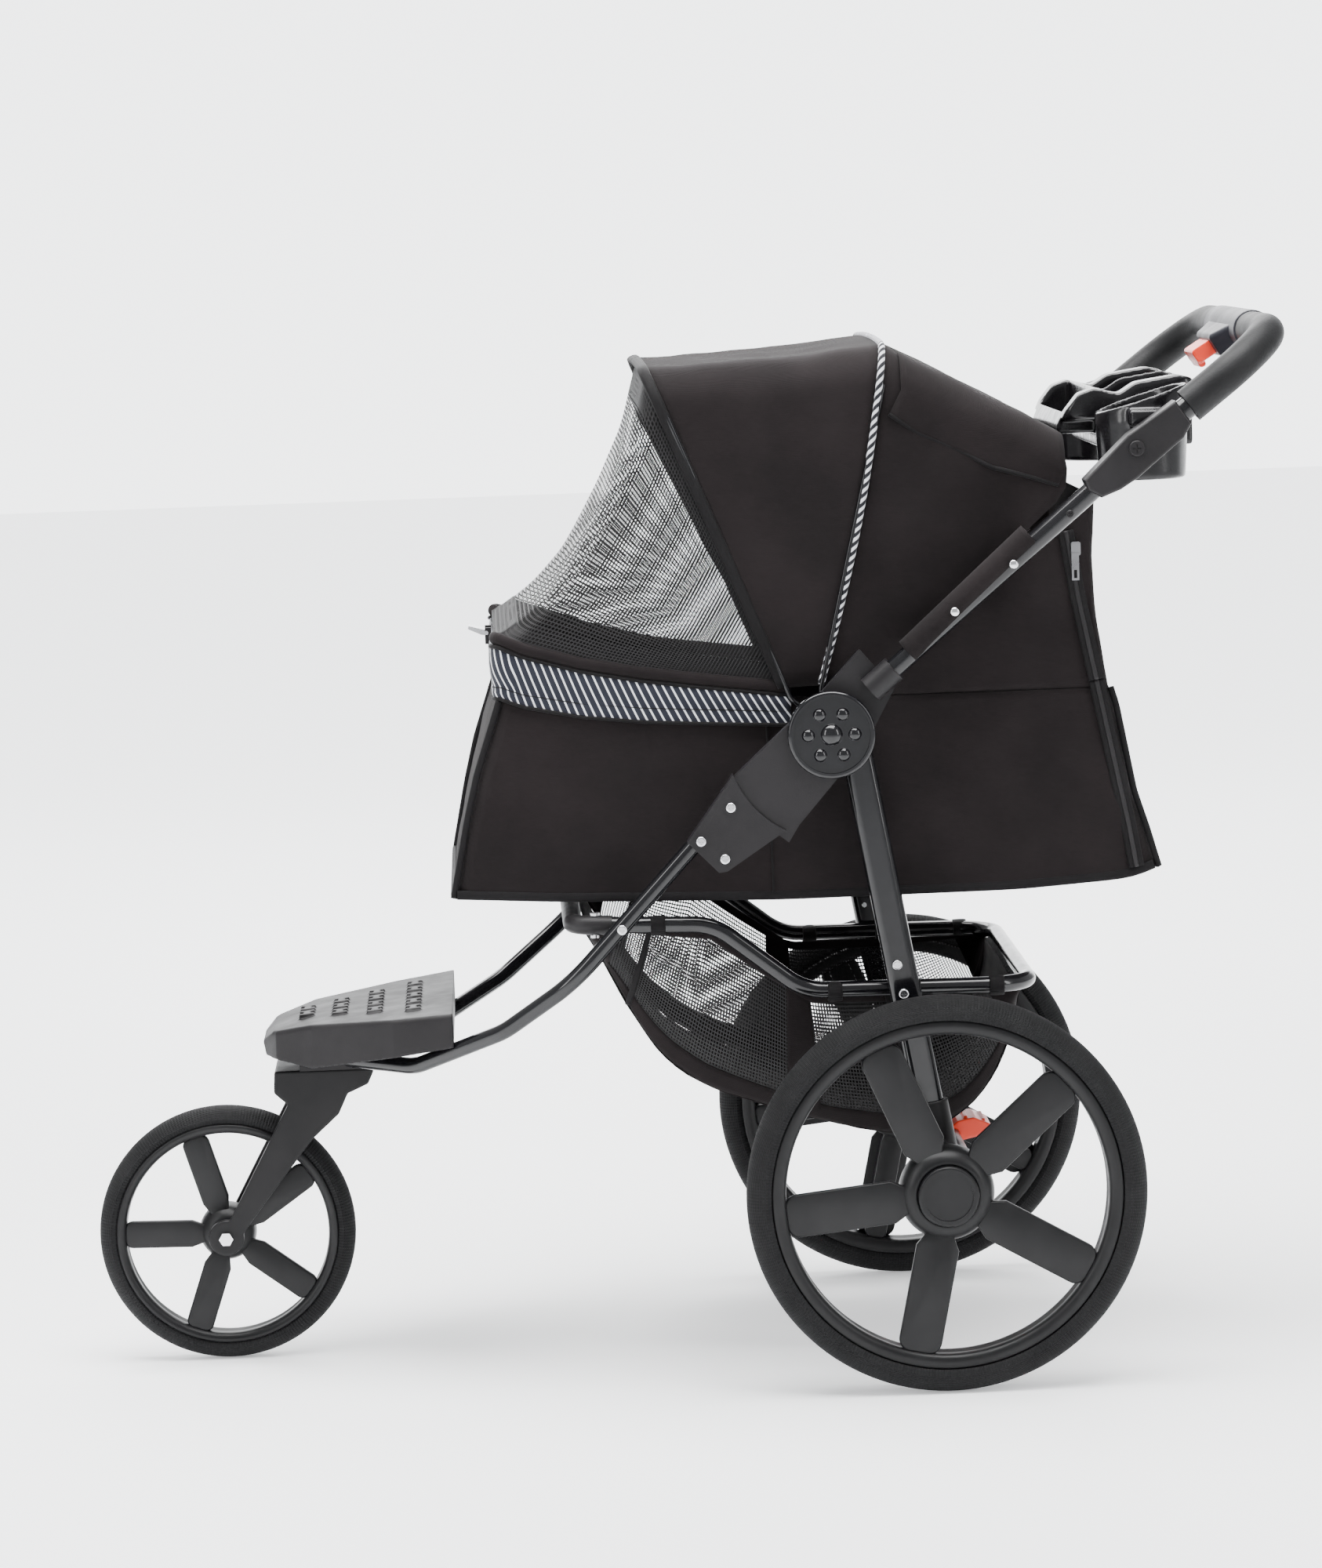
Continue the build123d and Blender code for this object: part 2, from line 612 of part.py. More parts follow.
def front_axle():
    """The axle rod and its two nuts."""
    fx, fz = FRONT_HUB
    pieces = [rod(fx, fz, 5.0, -FORK_OUT - 6, FORK_OUT + 6)]
    for side in (-1, 1):
        hexagon = Plane.XZ.offset(-side * (FORK_OUT + 3)) * RegularPolygon(7, 6)
        nut = Pos(fx, 0, fz) * extrude(hexagon, 3, both=True) - rod(fx, fz, 5.0, -60, 60)
        pieces.append(nut)
    return group(pieces)


def front_wheel():
    fx, fz = FRONT_HUB
    place = Pos(fx, 0, fz)
    tyre = wheel_tyre(FRONT_R, 17, 36)
    rim = wheel_rim(110, 101, 36, 32, 27, FRONT_PHASE, 0)
    rim += rod(0, 0, 11, 14, FORK_IN - 0.5) + rod(0, 0, 11, 0.5 - FORK_IN, -22)
    return place * tyre, place * (rim - rod(0, 0, 5 + RUN, -60, 60))


# ---------------------------------------------------------------- small moving pieces
def front_latch():
    """The pull tab on the rim that holds the mesh window's lower edge."""
    tab = slab([(412.5, 712), (420, 713), (433, 719), (432, 722), (418, 718), (412.5, 718)], -13, 13)
    return fillet(tab.edges().filter_by(Axis.Y), 0.8) + rod(415, 715, 2, -17, 17)


def latch_base():
    ear = Pos(413.2, 15.6, 712) * Box(6.2, 2.8, 16)
    plate = Pos(411.1, 0, 701) * Box(1.8, 34, 16)
    return both_sides(ear) + plate - rod(415, 715, 2 + RUN, -20, 20)


def zip_pull():
    slider = Pos(-147, 193.6, 789) * Box(9, 3.6, 13)
    tab = Pos(-146, 196, 772) * Box(7, 1.6, 26) - Pos(-146, 196, 765) * Box(3, 3, 8)
    return fillet(slider.edges().filter_by(Axis.Y), 2) + tab


def main():
    os.makedirs("parts", exist_ok=True)

    save_pair(front_tube(), "front_tube")
    save_pair(lower_arm(), "lower_arm")
    save(both(hub_cover()), "hub_covers")
    save(frame_bolts(), "frame_bolts")
    save(both(hub_bolt(), bow_stud()), "hub_bolts")
    save(step_shell(), "step")
    save(fork_socket(), "fork_socket")

    save(cabin_tub(), "cabin_tub")
    save(floor_board(), "floor_board")
    save(cabin_mat(), "cabin_mat")
    save(rim_band(), "rim_band")
    save(rear_panel(), "rear_panel")
    save(bow(FRONT_BOW, (128, 656), FRONT_BOW_Y), "front_bow")
    save(mesh_window(), "mesh_window")
    save(bow(MID_BOW, (100, 664), MID_BOW_Y), "mid_bow")
    save(canopy_hood(), "canopy_hood")
    save(rear_canopy(), "rear_canopy")
    save(latch_base(), "latch_base")
    save(front_latch(), "front_latch")
    save_pair(zip_pull(), "zip_pull")

    save(both(hub_plate()), "hub_plates")
    save_pair(upper_tube(), "upper_tube")
    save_pair(tube_cover(), "tube_cover")
    save(cover_buttons(), "cover_buttons")
    save(loop_solid(LOOP_R, 1.5), "handle_loop")
    save_pair(grip_half(), "grip")
    save(trigger_housing(), "trigger_housing")
    save(fold_trigger(), "fold_trigger")
    save(tray(), "tray")

    save_pair(leg(), "leg")
    save(leg_bolts(), "leg_bolts")
    save(both(leg_socket()), "leg_sockets")
    save(cross_tube(), "cross_tube")
    save(rear_axle(), "rear_axle")
    save(brake_pedal(), "brake_pedal")
    save(brake_rod(), "brake_rod")
    save_pair(brake_pin(), "brake_pin")

    save(basket_tube(), "basket_tube")
    save(basket_front_bar(), "basket_front_bar")
    save(bar_bolts(), "bar_bolts")
    save(basket_bag(), "basket_bag")

    tyre, rim, cap = rear_wheel()
    save_pair(tyre, "rear_tyre")
    save_pair(rim, "rear_rim")
    save_pair(cap, "rear_cap")

    save(fork(), "fork")
    save(fork_stem(), "fork_stem")
    save(front_axle(), "front_axle")
    tyre, rim = front_wheel()
    save(tyre, "front_tyre")
    save(rim, "front_rim")


main()
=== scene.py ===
import math
from math import cos, pi, radians, sin

import bmesh
import bpy
import numpy as np
from mathutils import Matrix, Vector, noise


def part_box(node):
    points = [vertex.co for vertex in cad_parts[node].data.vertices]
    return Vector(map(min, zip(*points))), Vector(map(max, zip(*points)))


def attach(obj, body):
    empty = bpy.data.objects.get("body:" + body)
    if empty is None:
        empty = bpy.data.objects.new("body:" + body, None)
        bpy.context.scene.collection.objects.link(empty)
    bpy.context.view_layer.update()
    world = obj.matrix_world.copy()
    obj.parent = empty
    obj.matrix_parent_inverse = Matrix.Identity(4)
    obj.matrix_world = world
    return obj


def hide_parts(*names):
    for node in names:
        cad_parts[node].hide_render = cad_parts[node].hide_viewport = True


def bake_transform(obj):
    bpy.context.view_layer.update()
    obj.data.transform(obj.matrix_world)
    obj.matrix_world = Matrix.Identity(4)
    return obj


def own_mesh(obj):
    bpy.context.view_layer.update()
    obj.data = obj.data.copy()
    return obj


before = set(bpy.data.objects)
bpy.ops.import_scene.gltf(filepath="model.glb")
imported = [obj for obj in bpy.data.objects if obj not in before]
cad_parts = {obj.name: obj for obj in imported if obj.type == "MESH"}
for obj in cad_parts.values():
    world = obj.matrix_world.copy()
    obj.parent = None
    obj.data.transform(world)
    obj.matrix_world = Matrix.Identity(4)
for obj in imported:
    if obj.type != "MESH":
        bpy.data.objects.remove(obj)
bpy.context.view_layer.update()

# Lengths below are millimetres from the rear axle, the centre plane and the floor, as in
# the CAD source. at() turns them into metres in the shared frame.
axle_low, axle_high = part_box("rear_axle")
AXLE_X = (axle_low.x + axle_high.x) / 2
MM = 0.001


def at(x, y, z):
    return (AXLE_X + x * MM, y * MM, z * MM)


# ------------------------------------------------------------------ node helpers
def new_material(name, color, rough, metal=0.0, spec=0.5, coat=0.0, coat_rough=0.1, sheen=0.0):
    m = bpy.data.materials.new(name)
    m.use_nodes = True
    s = m.node_tree.nodes["Principled BSDF"]
    s.inputs["Base Color"].default_value = (*color, 1.0)
    s.inputs["Roughness"].default_value = rough
    s.inputs["Metallic"].default_value = metal
    s.inputs["Specular IOR Level"].default_value = spec
    s.inputs["Coat Weight"].default_value = coat
    s.inputs["Coat Roughness"].default_value = coat_rough
    s.inputs["Sheen Weight"].default_value = sheen
    s.inputs["Sheen Roughness"].default_value = 0.5
    return m


class Nodes:
    """Short names for building one material's node tree."""

    def __init__(self, material):
        self.tree = material.node_tree
        self.shader = self.tree.nodes["Principled BSDF"]

    def add(self, kind, **values):
        n = self.tree.nodes.new(kind)
        for key, value in values.items():
            if hasattr(n, key):
                setattr(n, key, value)
            else:
                n.inputs[key].default_value = value
        return n

    def link(self, a, b):
        self.tree.links.new(a, b)

    def math(self, op, a, b=None):
        n = self.tree.nodes.new("ShaderNodeMath")
        n.operation = op
        for i, v in enumerate((a, b)):
            if v is None:
                continue
            if isinstance(v, (int, float)):
                n.inputs[i].default_value = v
            else:
                self.link(v, n.inputs[i])
        return n.outputs[0]

    def coords(self, uv=False):
        return self.tree.nodes.new("ShaderNodeTexCoord").outputs["UV" if uv else "Object"]

    def axes(self, vector):
        n = self.tree.nodes.new("ShaderNodeSeparateXYZ")
        self.link(vector, n.inputs[0])
        return n.outputs[0], n.outputs[1], n.outputs[2]

    def noise(self, vector, scale, detail=3.0):
        n = self.add("ShaderNodeTexNoise", Scale=scale, Detail=detail)
        self.link(vector, n.inputs["Vector"])
        return n.outputs[0]

    def ramp(self, value, stops):
        n = self.tree.nodes.new("ShaderNodeValToRGB")
        while len(n.color_ramp.elements) < len(stops):
            n.color_ramp.elements.new(0.5)
        for e, (place, color) in zip(n.color_ramp.elements, stops):
            e.position = place
            e.color = (*color, 1.0) if len(color) == 3 else color
        self.link(value, n.inputs[0])
        return n.outputs[0]

    def bump(self, height, strength, distance):
        n = self.add("ShaderNodeBump", Strength=strength, Distance=distance)
        self.link(height, n.inputs["Height"])
        self.link(n.outputs[0], self.shader.inputs["Normal"])

    def vary_rough(self, vector, low, high, scale):
        self.link(self.ramp(self.noise(vector, scale), ((0.3, (low,) * 3), (0.7, (high,) * 3))),
                  self.shader.inputs["Roughness"])

    def vary_color(self, vector, dark, light, scale):
        self.link(self.ramp(self.noise(vector, scale), ((0.35, dark), (0.65, light))),
                  self.shader.inputs["Base Color"])


def grained(name, dark, light, rough, grain=900.0, strength=0.25, **more):
    """Moulded plastic or rubber with a fine grain, faint marks and uneven gloss."""
    m = new_material(name, dark, rough, **more)
    n = Nodes(m)
    v = n.coords()
    n.vary_color(v, dark, light, 14.0)
    n.vary_rough(v, rough - 0.06, rough + 0.06, 35.0)
    n.bump(n.noise(v, grain, 2.0), strength, 0.0004)
    return m


def gloss(name, dark, light, rough, **more):
    """Painted tube or polished moulding: smooth, with slight waviness and fine wear."""
    m = new_material(name, dark, rough, **more)
    n = Nodes(m)
    v = n.coords()
    n.vary_color(v, dark, light, 9.0)
    n.vary_rough(v, rough * 0.7, rough * 1.5, 60.0)
    n.bump(n.noise(v, 120.0, 2.0), 0.06, 0.0005)
    return m


def woven(name, dark, light, rough=0.85, pitch=1.1, sheen=0.15):
    """Plain-woven cloth: crossing threads along the three axes, with soft shade changes."""
    m = new_material(name, dark, rough, spec=0.12, sheen=sheen)
    n = Nodes(m)
    v = n.coords()
    n.vary_color(v, dark, light, 11.0)
    x, y, z = n.axes(v)
    k = 2 * pi / (pitch * MM)
    waves = [n.math("SINE", n.math("MULTIPLY", a, k)) for a in (x, y, z)]
    cross = n.math("ADD", n.math("MULTIPLY", waves[0], waves[2]), n.math("MULTIPLY", waves[1], waves[2]))
    rough_part = n.math("MULTIPLY", n.noise(v, 500.0), 0.8)
    n.bump(n.math("ADD", cross, rough_part), 0.35, 0.00035)
    return m


def knurled(name, centre, dark, light):
    """Foam tyre: a fine diamond knurl round the wheel's own axis."""
    m = new_material(name, dark, 0.75, spec=0.2)
    n = Nodes(m)
    v = n.coords()
    n.vary_color(v, dark, light, 20.0)
    x, y, z = n.axes(v)
    dx = n.math("SUBTRACT", x, centre[0])
    dz = n.math("SUBTRACT", z, centre[2])
    turn = n.math("ARCTAN2", dz, dx)
    reach = n.math("SQRT", n.math("ADD", n.math("MULTIPLY", dx, dx), n.math("MULTIPLY", dz, dz)))
    across = n.math("ADD", n.math("MULTIPLY", n.math("ABSOLUTE", n.math("SUBTRACT", y, centre[1])), 1400.0),
                    n.math("MULTIPLY", reach, -1400.0))
    around = n.math("MULTIPLY", turn, centre[3])
    a = n.math("SINE", n.math("ADD", around, across))
    b = n.math("SINE", n.math("SUBTRACT", around, across))
    n.bump(n.math("MULTIPLY", a, b), 0.55, 0.0009)
    return m


def striped(name, back, line, period, share, slant=0.0, rough=0.8):
    """Cloth with even lines across its length, from the UV map in metres."""
    m = new_material(name, back, rough, spec=0.25, sheen=0.1)
    n = Nodes(m)
    u, w, _ = n.axes(n.coords(uv=True))
    along = n.math("ADD", u, n.math("MULTIPLY", w, slant))
    phase = n.math("FRACT", n.math("DIVIDE", along, period))
    edge = 0.03
    n.link(n.ramp(phase, ((0.0, back), (share - edge, back), (share, line), (1.0 - edge, line))),
           n.shader.inputs["Base Color"])
    v = n.coords()
    n.bump(n.noise(v, 700.0), 0.25, 0.0003)
    return m


def netting(name, color, pitch, thread):
    """Open mesh: threads both ways over holes, from the UV map in metres."""
    m = new_material(name, color, 0.7, spec=0.3)
    n = Nodes(m)
    u, w, _ = n.axes(n.coords(uv=True))
    lines = [n.math("LESS_THAN", n.math("FRACT", n.math("DIVIDE", a, pitch)), thread) for a in (u, w)]
    n.link(n.math("MAXIMUM", *lines), n.shader.inputs["Alpha"])
    return m


BLACK = gloss("frame_black", (0.0035, 0.0035, 0.0045), (0.007, 0.007, 0.008), 0.15, spec=0.3, coat=0.25,
              coat_rough=0.05)
GREY = grained("moulded_grey", (0.0105, 0.0098, 0.0105), (0.015, 0.014, 0.015), 0.42, grain=1300.0, spec=0.2)
HOUSING = grained("housing_grey", (0.016, 0.016, 0.021), (0.022, 0.022, 0.028), 0.45, grain=1300.0, spec=0.25)
FORK_GREY = grained("fork_grey", (0.0055, 0.0055, 0.006), (0.009, 0.0085, 0.009), 0.45, grain=1500.0, spec=0.2)
HUB_GLOSS = gloss("hub_gloss", (0.003, 0.003, 0.004), (0.006, 0.006, 0.007), 0.12, spec=0.3, coat=0.3,
                  coat_rough=0.05)
STEEL = gloss("bright_steel", (0.62, 0.62, 0.64), (0.74, 0.74, 0.75), 0.18, metal=1.0)
DARK_STEEL = gloss("dark_steel", (0.18, 0.18, 0.19), (0.26, 0.26, 0.27), 0.32, metal=1.0)
CLOTH = woven("cloth_dark", (0.0068, 0.0052, 0.0055), (0.0105, 0.0080, 0.0084), sheen=0.03)
LINING = woven("cloth_lining", (0.008, 0.007, 0.008), (0.013, 0.011, 0.013), pitch=1.6, sheen=0.03)
TAPE = woven("binding_tape", (0.0035, 0.003, 0.0035), (0.006, 0.0055, 0.006), rough=0.6, pitch=0.8, sheen=0.02)
FOAM = grained("foam_grip", (0.0045, 0.0045, 0.005), (0.0075, 0.0075, 0.008), 0.55, grain=420.0, strength=0.5,
               spec=0.22)
TRAY = gloss("tray_gloss", (0.004, 0.0038, 0.0045), (0.007, 0.0065, 0.0075), 0.2, spec=0.3, coat=0.2,
             coat_rough=0.12)
RED = grained("red_plastic", (0.60, 0.028, 0.010), (0.72, 0.045, 0.016), 0.3, strength=0.1)
RIM = grained("rim_black", (0.0050, 0.0050, 0.0055), (0.0085, 0.0085, 0.009), 0.38, grain=1600.0, strength=0.15,
              spec=0.22)
STEP = grained("step_rubber", (0.0085, 0.0078, 0.0085), (0.013, 0.012, 0.013), 0.5, grain=700.0, spec=0.2)
BOARD = grained("board", (0.03, 0.03, 0.03), (0.045, 0.045, 0.045), 0.7)
MESH = netting("mesh_black", (0.010, 0.0095, 0.010), 0.0034, 0.36)
BASKET_NET = netting("basket_net", (0.010, 0.0095, 0.010), 0.0029, 0.40)
BAND = striped("striped_cloth", (0.009, 0.010, 0.018), (0.62, 0.63, 0.66), 0.0083, 0.76, slant=0.45)
ROPE = striped("striped_rope", (0.007, 0.007, 0.010), (0.60, 0.60, 0.63), 0.0094, 0.55, slant=1.1)


# ------------------------------------------------------------------ mesh helpers
def new_object(name, data, body=None):
    o = bpy.data.objects.new(name, data)
    bpy.context.scene.collection.objects.link(o)
    if body:
        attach(o, body)
    return o


def smooth_shade(mesh):
    mesh.polygons.foreach_set("use_smooth", [True] * len(mesh.polygons))


def link(name, mesh, material, body=None):
    mesh.materials.append(material)
    smooth_shade(mesh)
    return new_object(name, mesh, body)


def cloth_mesh(name, verts, faces, uvs):
    mesh = bpy.data.meshes.new(name)
    mesh.from_pydata(verts, [], faces)
    layer = mesh.uv_layers.new(name="UVMap")
    layer.data.foreach_set("uv", np.array(uvs, np.float32).ravel())
    return mesh


def apply(o):
    """Bakes the object's modifiers into its mesh."""
    graph = bpy.context.evaluated_depsgraph_get()
    made = bpy.data.meshes.new_from_object(o.evaluated_get(graph))
    o.modifiers.clear()
    old = o.data
    o.data = made
    bpy.data.meshes.remove(old)
    return o


def thicken(o, thickness):
    m = o.modifiers.new("solid", "SOLIDIFY")
    m.thickness = thickness * MM
    m.offset = -1.0
    return apply(o)


def subdivide(o, levels=1):
    m = o.modifiers.new("sub", "SUBSURF")
    m.levels = levels
    m.render_levels = levels
    return apply(o)


def remesh(o, voxel):
    m = o.modifiers.new("remesh", "REMESH")
    m.mode = "VOXEL"
    m.voxel_size = voxel * MM


def bevel(o, width, segments):
    m = o.modifiers.new("bevel", "BEVEL")
    m.width = width * MM
    m.segments = segments
    m.limit_method = "ANGLE"
    m.angle_limit = radians(30)
    apply(o)
    smooth_shade(o.data)
    return o


def grid(name, rows, material, body=None, closed=False, thickness=0.0, sub=0, flip=False):
    """A cloth surface through rows of points (mm), with a UV map in metres along it."""
    pts = np.array(rows, float)
    nr, nc = pts.shape[:2]
    step_c = np.linalg.norm(np.diff(pts, axis=1), axis=2).mean(axis=0)
    step_r = np.linalg.norm(np.diff(pts, axis=0), axis=2).mean(axis=1)
    us = np.concatenate([[0], np.cumsum(step_c)]) * MM
    vs = np.concatenate([[0], np.cumsum(step_r)]) * MM
    verts = [at(*p) for row in pts for p in row]
    faces, uvs = [], []
    span = nc if closed else nc - 1
    for i in range(nr - 1):
        for j in range(span):
            k = (j + 1) % nc
            quad = [(i, j), (i, k), (i + 1, k), (i + 1, j)]
            if flip:
                quad.reverse()
            faces.append([a * nc + b for a, b in quad])
            for a, b in quad:
                u = us[b] if not (closed and b == 0 and j == nc - 1) else us[-1] + step_c.mean() * MM
                uvs.append((u, vs[a]))
    o = link(name, cloth_mesh(name, verts, faces, uvs), material)
    if sub:
        subdivide(o, sub)
    if thickness:
        thicken(o, thickness)
    if body:
        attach(o, body)
    return o


def resample(points, count):
    """The same line through count evenly spaced points."""
    p = np.array(points, float)
    d = np.concatenate([[0], np.cumsum(np.linalg.norm(np.diff(p, axis=0), axis=1))])
    t = np.linspace(0, d[-1], count)
    return np.stack([np.interp(t, d, p[:, i]) for i in range(3)], 1)


def smooth_line(points, count, passes=3):
    """The same line resampled, with its corners softened a little on each pass."""
    p = resample(points, count)
    for _ in range(passes):
        q = p.copy()
        q[1:-1] = (p[:-2] + 2 * p[1:-1] + p[2:]) / 4
        p = q
    return p


def sweep(name, points, material, body=None, r=2.0, flat=1.0, sides=10, up=(0, 1, 0)):
    """A round or flattened strip along a line: r across, r * flat along the up direction."""
    p = np.array(points, float)
    tangent = np.gradient(p, axis=0)
    tangent /= np.linalg.norm(tangent, axis=1)[:, None]
    rows = []
    for c, t in zip(p, tangent):
        u = np.array(up, float)
        u = u - t * u.dot(t)
        u /= np.linalg.norm(u) + 1e-9
        w = np.cross(t, u)
        rows.append([c + w * r * cos(a) + u * r * flat * sin(a)
                     for a in (2 * pi * i / sides for i in range(sides))])
    rows = np.array(rows)
    nr = len(rows)
    verts = [at(*q) for row in rows for q in row]
    faces, uvs = [], []
    d = np.concatenate([[0], np.cumsum(np.linalg.norm(np.diff(p, axis=0), axis=1))]) * MM
    ring = 2 * pi * r * MM
    for i in range(nr - 1):
        for j in range(sides):
            k = (j + 1) % sides
            faces.append([i * sides + j, (i + 1) * sides + j, (i + 1) * sides + k, i * sides + k])
            v0, v1 = ring * j / sides, ring * (j + 1) / sides
            uvs += [(d[i], v0), (d[i + 1], v0), (d[i + 1], v1), (d[i], v1)]
    faces.append(list(range(sides)))
    uvs += [(0, 0)] * sides
    faces.append(list(range((nr - 1) * sides, nr * sides))[::-1])
    uvs += [(0, 0)] * sides
    mesh = cloth_mesh(name, verts, faces, uvs)
    mesh.validate()
    return link(name, mesh, material, body)


def lathe(name, profile, centre, material, body=None, segments=96, closed=True):
    """A surface turned about the Y axis: profile pairs are (radius, place along the axis)."""
    n = len(profile)
    verts, faces = [], []
    for i in range(segments):
        a = 2 * pi * i / segments
        for r, h in profile:
            verts.append(at(centre[0] + r * cos(a), centre[1] + h, centre[2] + r * sin(a)))
    for i in range(segments):
        k = (i + 1) % segments
        for j in range(n if closed else n - 1):
            q = (j + 1) % n
            faces.append([i * n + j, i * n + q, k * n + q, k * n + j])
    mesh = bpy.data.meshes.new(name)
    mesh.from_pydata(verts, [], faces)
    fix_normals(mesh)
    return link(name, mesh, material, body)


def fix_normals(mesh):
    b = bmesh.new()
    b.from_mesh(mesh)
    bmesh.ops.remove_doubles(b, verts=b.verts, dist=1e-6)
    bmesh.ops.dissolve_degenerate(b, dist=1e-7, edges=b.edges)
    bmesh.ops.recalc_face_normals(b, faces=b.faces)
    b.to_mesh(mesh)
    b.free()


def plate(name, outline, y0, y1, material, body=None, width=2.0, segments=3):
    """A side-view outline (x, z) given thickness along Y, with rounded edges."""
    n = len(outline)
    verts = [at(x, y, z) for y in (y0, y1) for x, z in outline]
    faces = [list(range(n)), list(range(n, 2 * n))[::-1]]
    faces += [[i, i + n, (i + 1) % n + n, (i + 1) % n] for i in range(n)]
    mesh = bpy.data.meshes.new(name)
    mesh.from_pydata(verts, [], faces)
    fix_normals(mesh)
    o = link(name, mesh, material)
    bevel(o, width, segments)
    if body:
        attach(o, body)
    return o


def joined(name, objects, body):
    """One object from several."""
    b = bmesh.new()
    mats = []
    for o in objects:
        for m in o.data.materials:
            if m not in mats:
                mats.append(m)
    for o in objects:
        start = len(b.faces)
        b.from_mesh(o.data)
        b.faces.ensure_lookup_table()
        remap = [mats.index(m) for m in o.data.materials]
        for f in b.faces[start:]:
            f.material_index = remap[f.material_index]
    mesh = bpy.data.meshes.new(name)
    b.to_mesh(mesh)
    b.free()
    for o in objects:
        bpy.data.objects.remove(o)
    for m in mats:
        mesh.materials.append(m)
    return new_object(name, mesh, body)


def mirrored(o, name, body=None):
    """A mirror image of the object across the centre plane."""
    mesh = o.data.copy()
    mesh.transform(Matrix.Diagonal((1, -1, 1, 1)))
    mesh.flip_normals()
    return new_object(name, mesh, body)


def ruffle(points, amount, scale, seed, hold=0.0):
    """Adds uneven wrinkles to rows of points (mm), less towards the held edges."""
    p = np.array(points, float)
    du = np.gradient(p, axis=1)
    dv = np.gradient(p, axis=0)
    normal = np.cross(du, dv)
    normal /= np.linalg.norm(normal, axis=2)[:, :, None] + 1e-9
    nr, nc = p.shape[:2]
    out = p.copy()
    for i in range(nr):
        for j in range(nc):
            q = Vector(p[i, j]) / scale + Vector((seed * 3.7, seed * 1.3, seed * 2.1))
            n = noise.noise(q) + 0.5 * noise.noise(q * 2.3)
            edge = min(1.0, min(i, nr - 1 - i) / (nr * 0.18 + 1e-9)) if hold else 1.0
            out[i, j] += normal[i, j] * amount * n * edge
    return out


def blend_line(a, b, t):
    return tuple(p + (q - p) * t for p, q in zip(a, b))


def profile_at(points, t):
    """A point along a list of (x, z) points, t from 0 to 1 by length."""
    p = np.array(points, float)
    d = np.concatenate([[0], np.cumsum(np.linalg.norm(np.diff(p, axis=0), axis=1))])
    s = d[-1] * t
    return (float(np.interp(s, d, p[:, 0])), float(np.interp(s, d, p[:, 1])))


def arch(base, top, w, radius=42.0, crown=0.0, counts=(16, 9, 14), bow_out=0.0, w_base=None):
    """Points of a canopy hoop: up one leg from base, across the top, and down the other."""
    nl, nc, nt = counts
    base_w = w if w_base is None else w_base
    reach = math.hypot(top[0] - base[0], top[1] - base[1])
    ux, uz = (top[0] - base[0]) / reach, (top[1] - base[1]) / reach
    half = []
    for i in range(nl):
        s = i / nl
        d = (reach - radius) * s
        half.append((d, base_w + (w - base_w) * s + bow_out * sin(pi * s)))
    for i in range(nc):
        a = i / nc * pi / 2
        half.append((reach - radius + radius * sin(a), w - radius + radius * cos(a)))
    mid = []
    for i in range(nt + 1):
        y = (w - radius) * (1 - 2 * i / nt)
        mid.append((reach + crown * (1 - (y / (w - radius)) ** 2), y))
    line = half + mid + [(d, -y) for d, y in reversed(half)]
    return [(base[0] + ux * d, y, base[1] + uz * d) for d, y in line]


# ------------------------------------------------------------------ hard parts kept from CAD
KEPT = {
    BLACK: "front_tube_left front_tube_right upper_tube_left upper_tube_right handle_loop leg_left leg_right "
           "cross_tube basket_tube front_bow mid_bow",
    HOUSING: "trigger_housing",
    GREY: "lower_arm_left lower_arm_right leg_sockets hub_plates fork_socket "
          "basket_front_bar latch_base tube_cover_left tube_cover_right cover_buttons",
    HUB_GLOSS: "hub_covers",
    STEEL: "frame_bolts leg_bolts bar_bolts front_axle front_latch",
    DARK_STEEL: "zip_pull_left zip_pull_right hub_bolts rear_axle brake_rod brake_pin_left brake_pin_right "
                "fork_stem",
    FOAM: "grip_left grip_right",
    RED: "fold_trigger brake_pedal",
    FORK_GREY: "fork",
    BOARD: "floor_board",
    RIM: "rear_cap_left rear_cap_right",
    STEP: "step",
}
for material, names in KEPT.items():
    for node in names.split():
        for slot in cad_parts[node].material_slots:
            slot.material = material


def node_centre(node):
    low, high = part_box(node)
    return (low + high) / 2


for node, turns in (("rear_tyre_left", 190), ("rear_tyre_right", 190), ("front_tyre", 127)):
    c = node_centre(node)
    tread = knurled(node + "_tread", (c.x, c.y, c.z, turns), (0.0045, 0.0045, 0.005), (0.008, 0.008, 0.0085))
    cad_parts[node].material_slots[0].material = tread


# ------------------------------------------------------------------ wheels
def spoke_outline(r0, r1, width, root):
    """A paddle spoke's half-rounded outline along +X: narrow root, broad rounded end."""
    half = width / 2
    corner = half * 0.62
    pts = [(r0, -root / 2), (r0 + 14, -half), (r1 - corner, -half)]
    for i in range(1, 8):
        a = -pi / 2 + i / 8 * pi / 2
        pts.append((r1 - corner + corner * cos(a), -half + corner + corner * sin(a)))
    return pts + [(x, -z) for x, z in reversed(pts)]


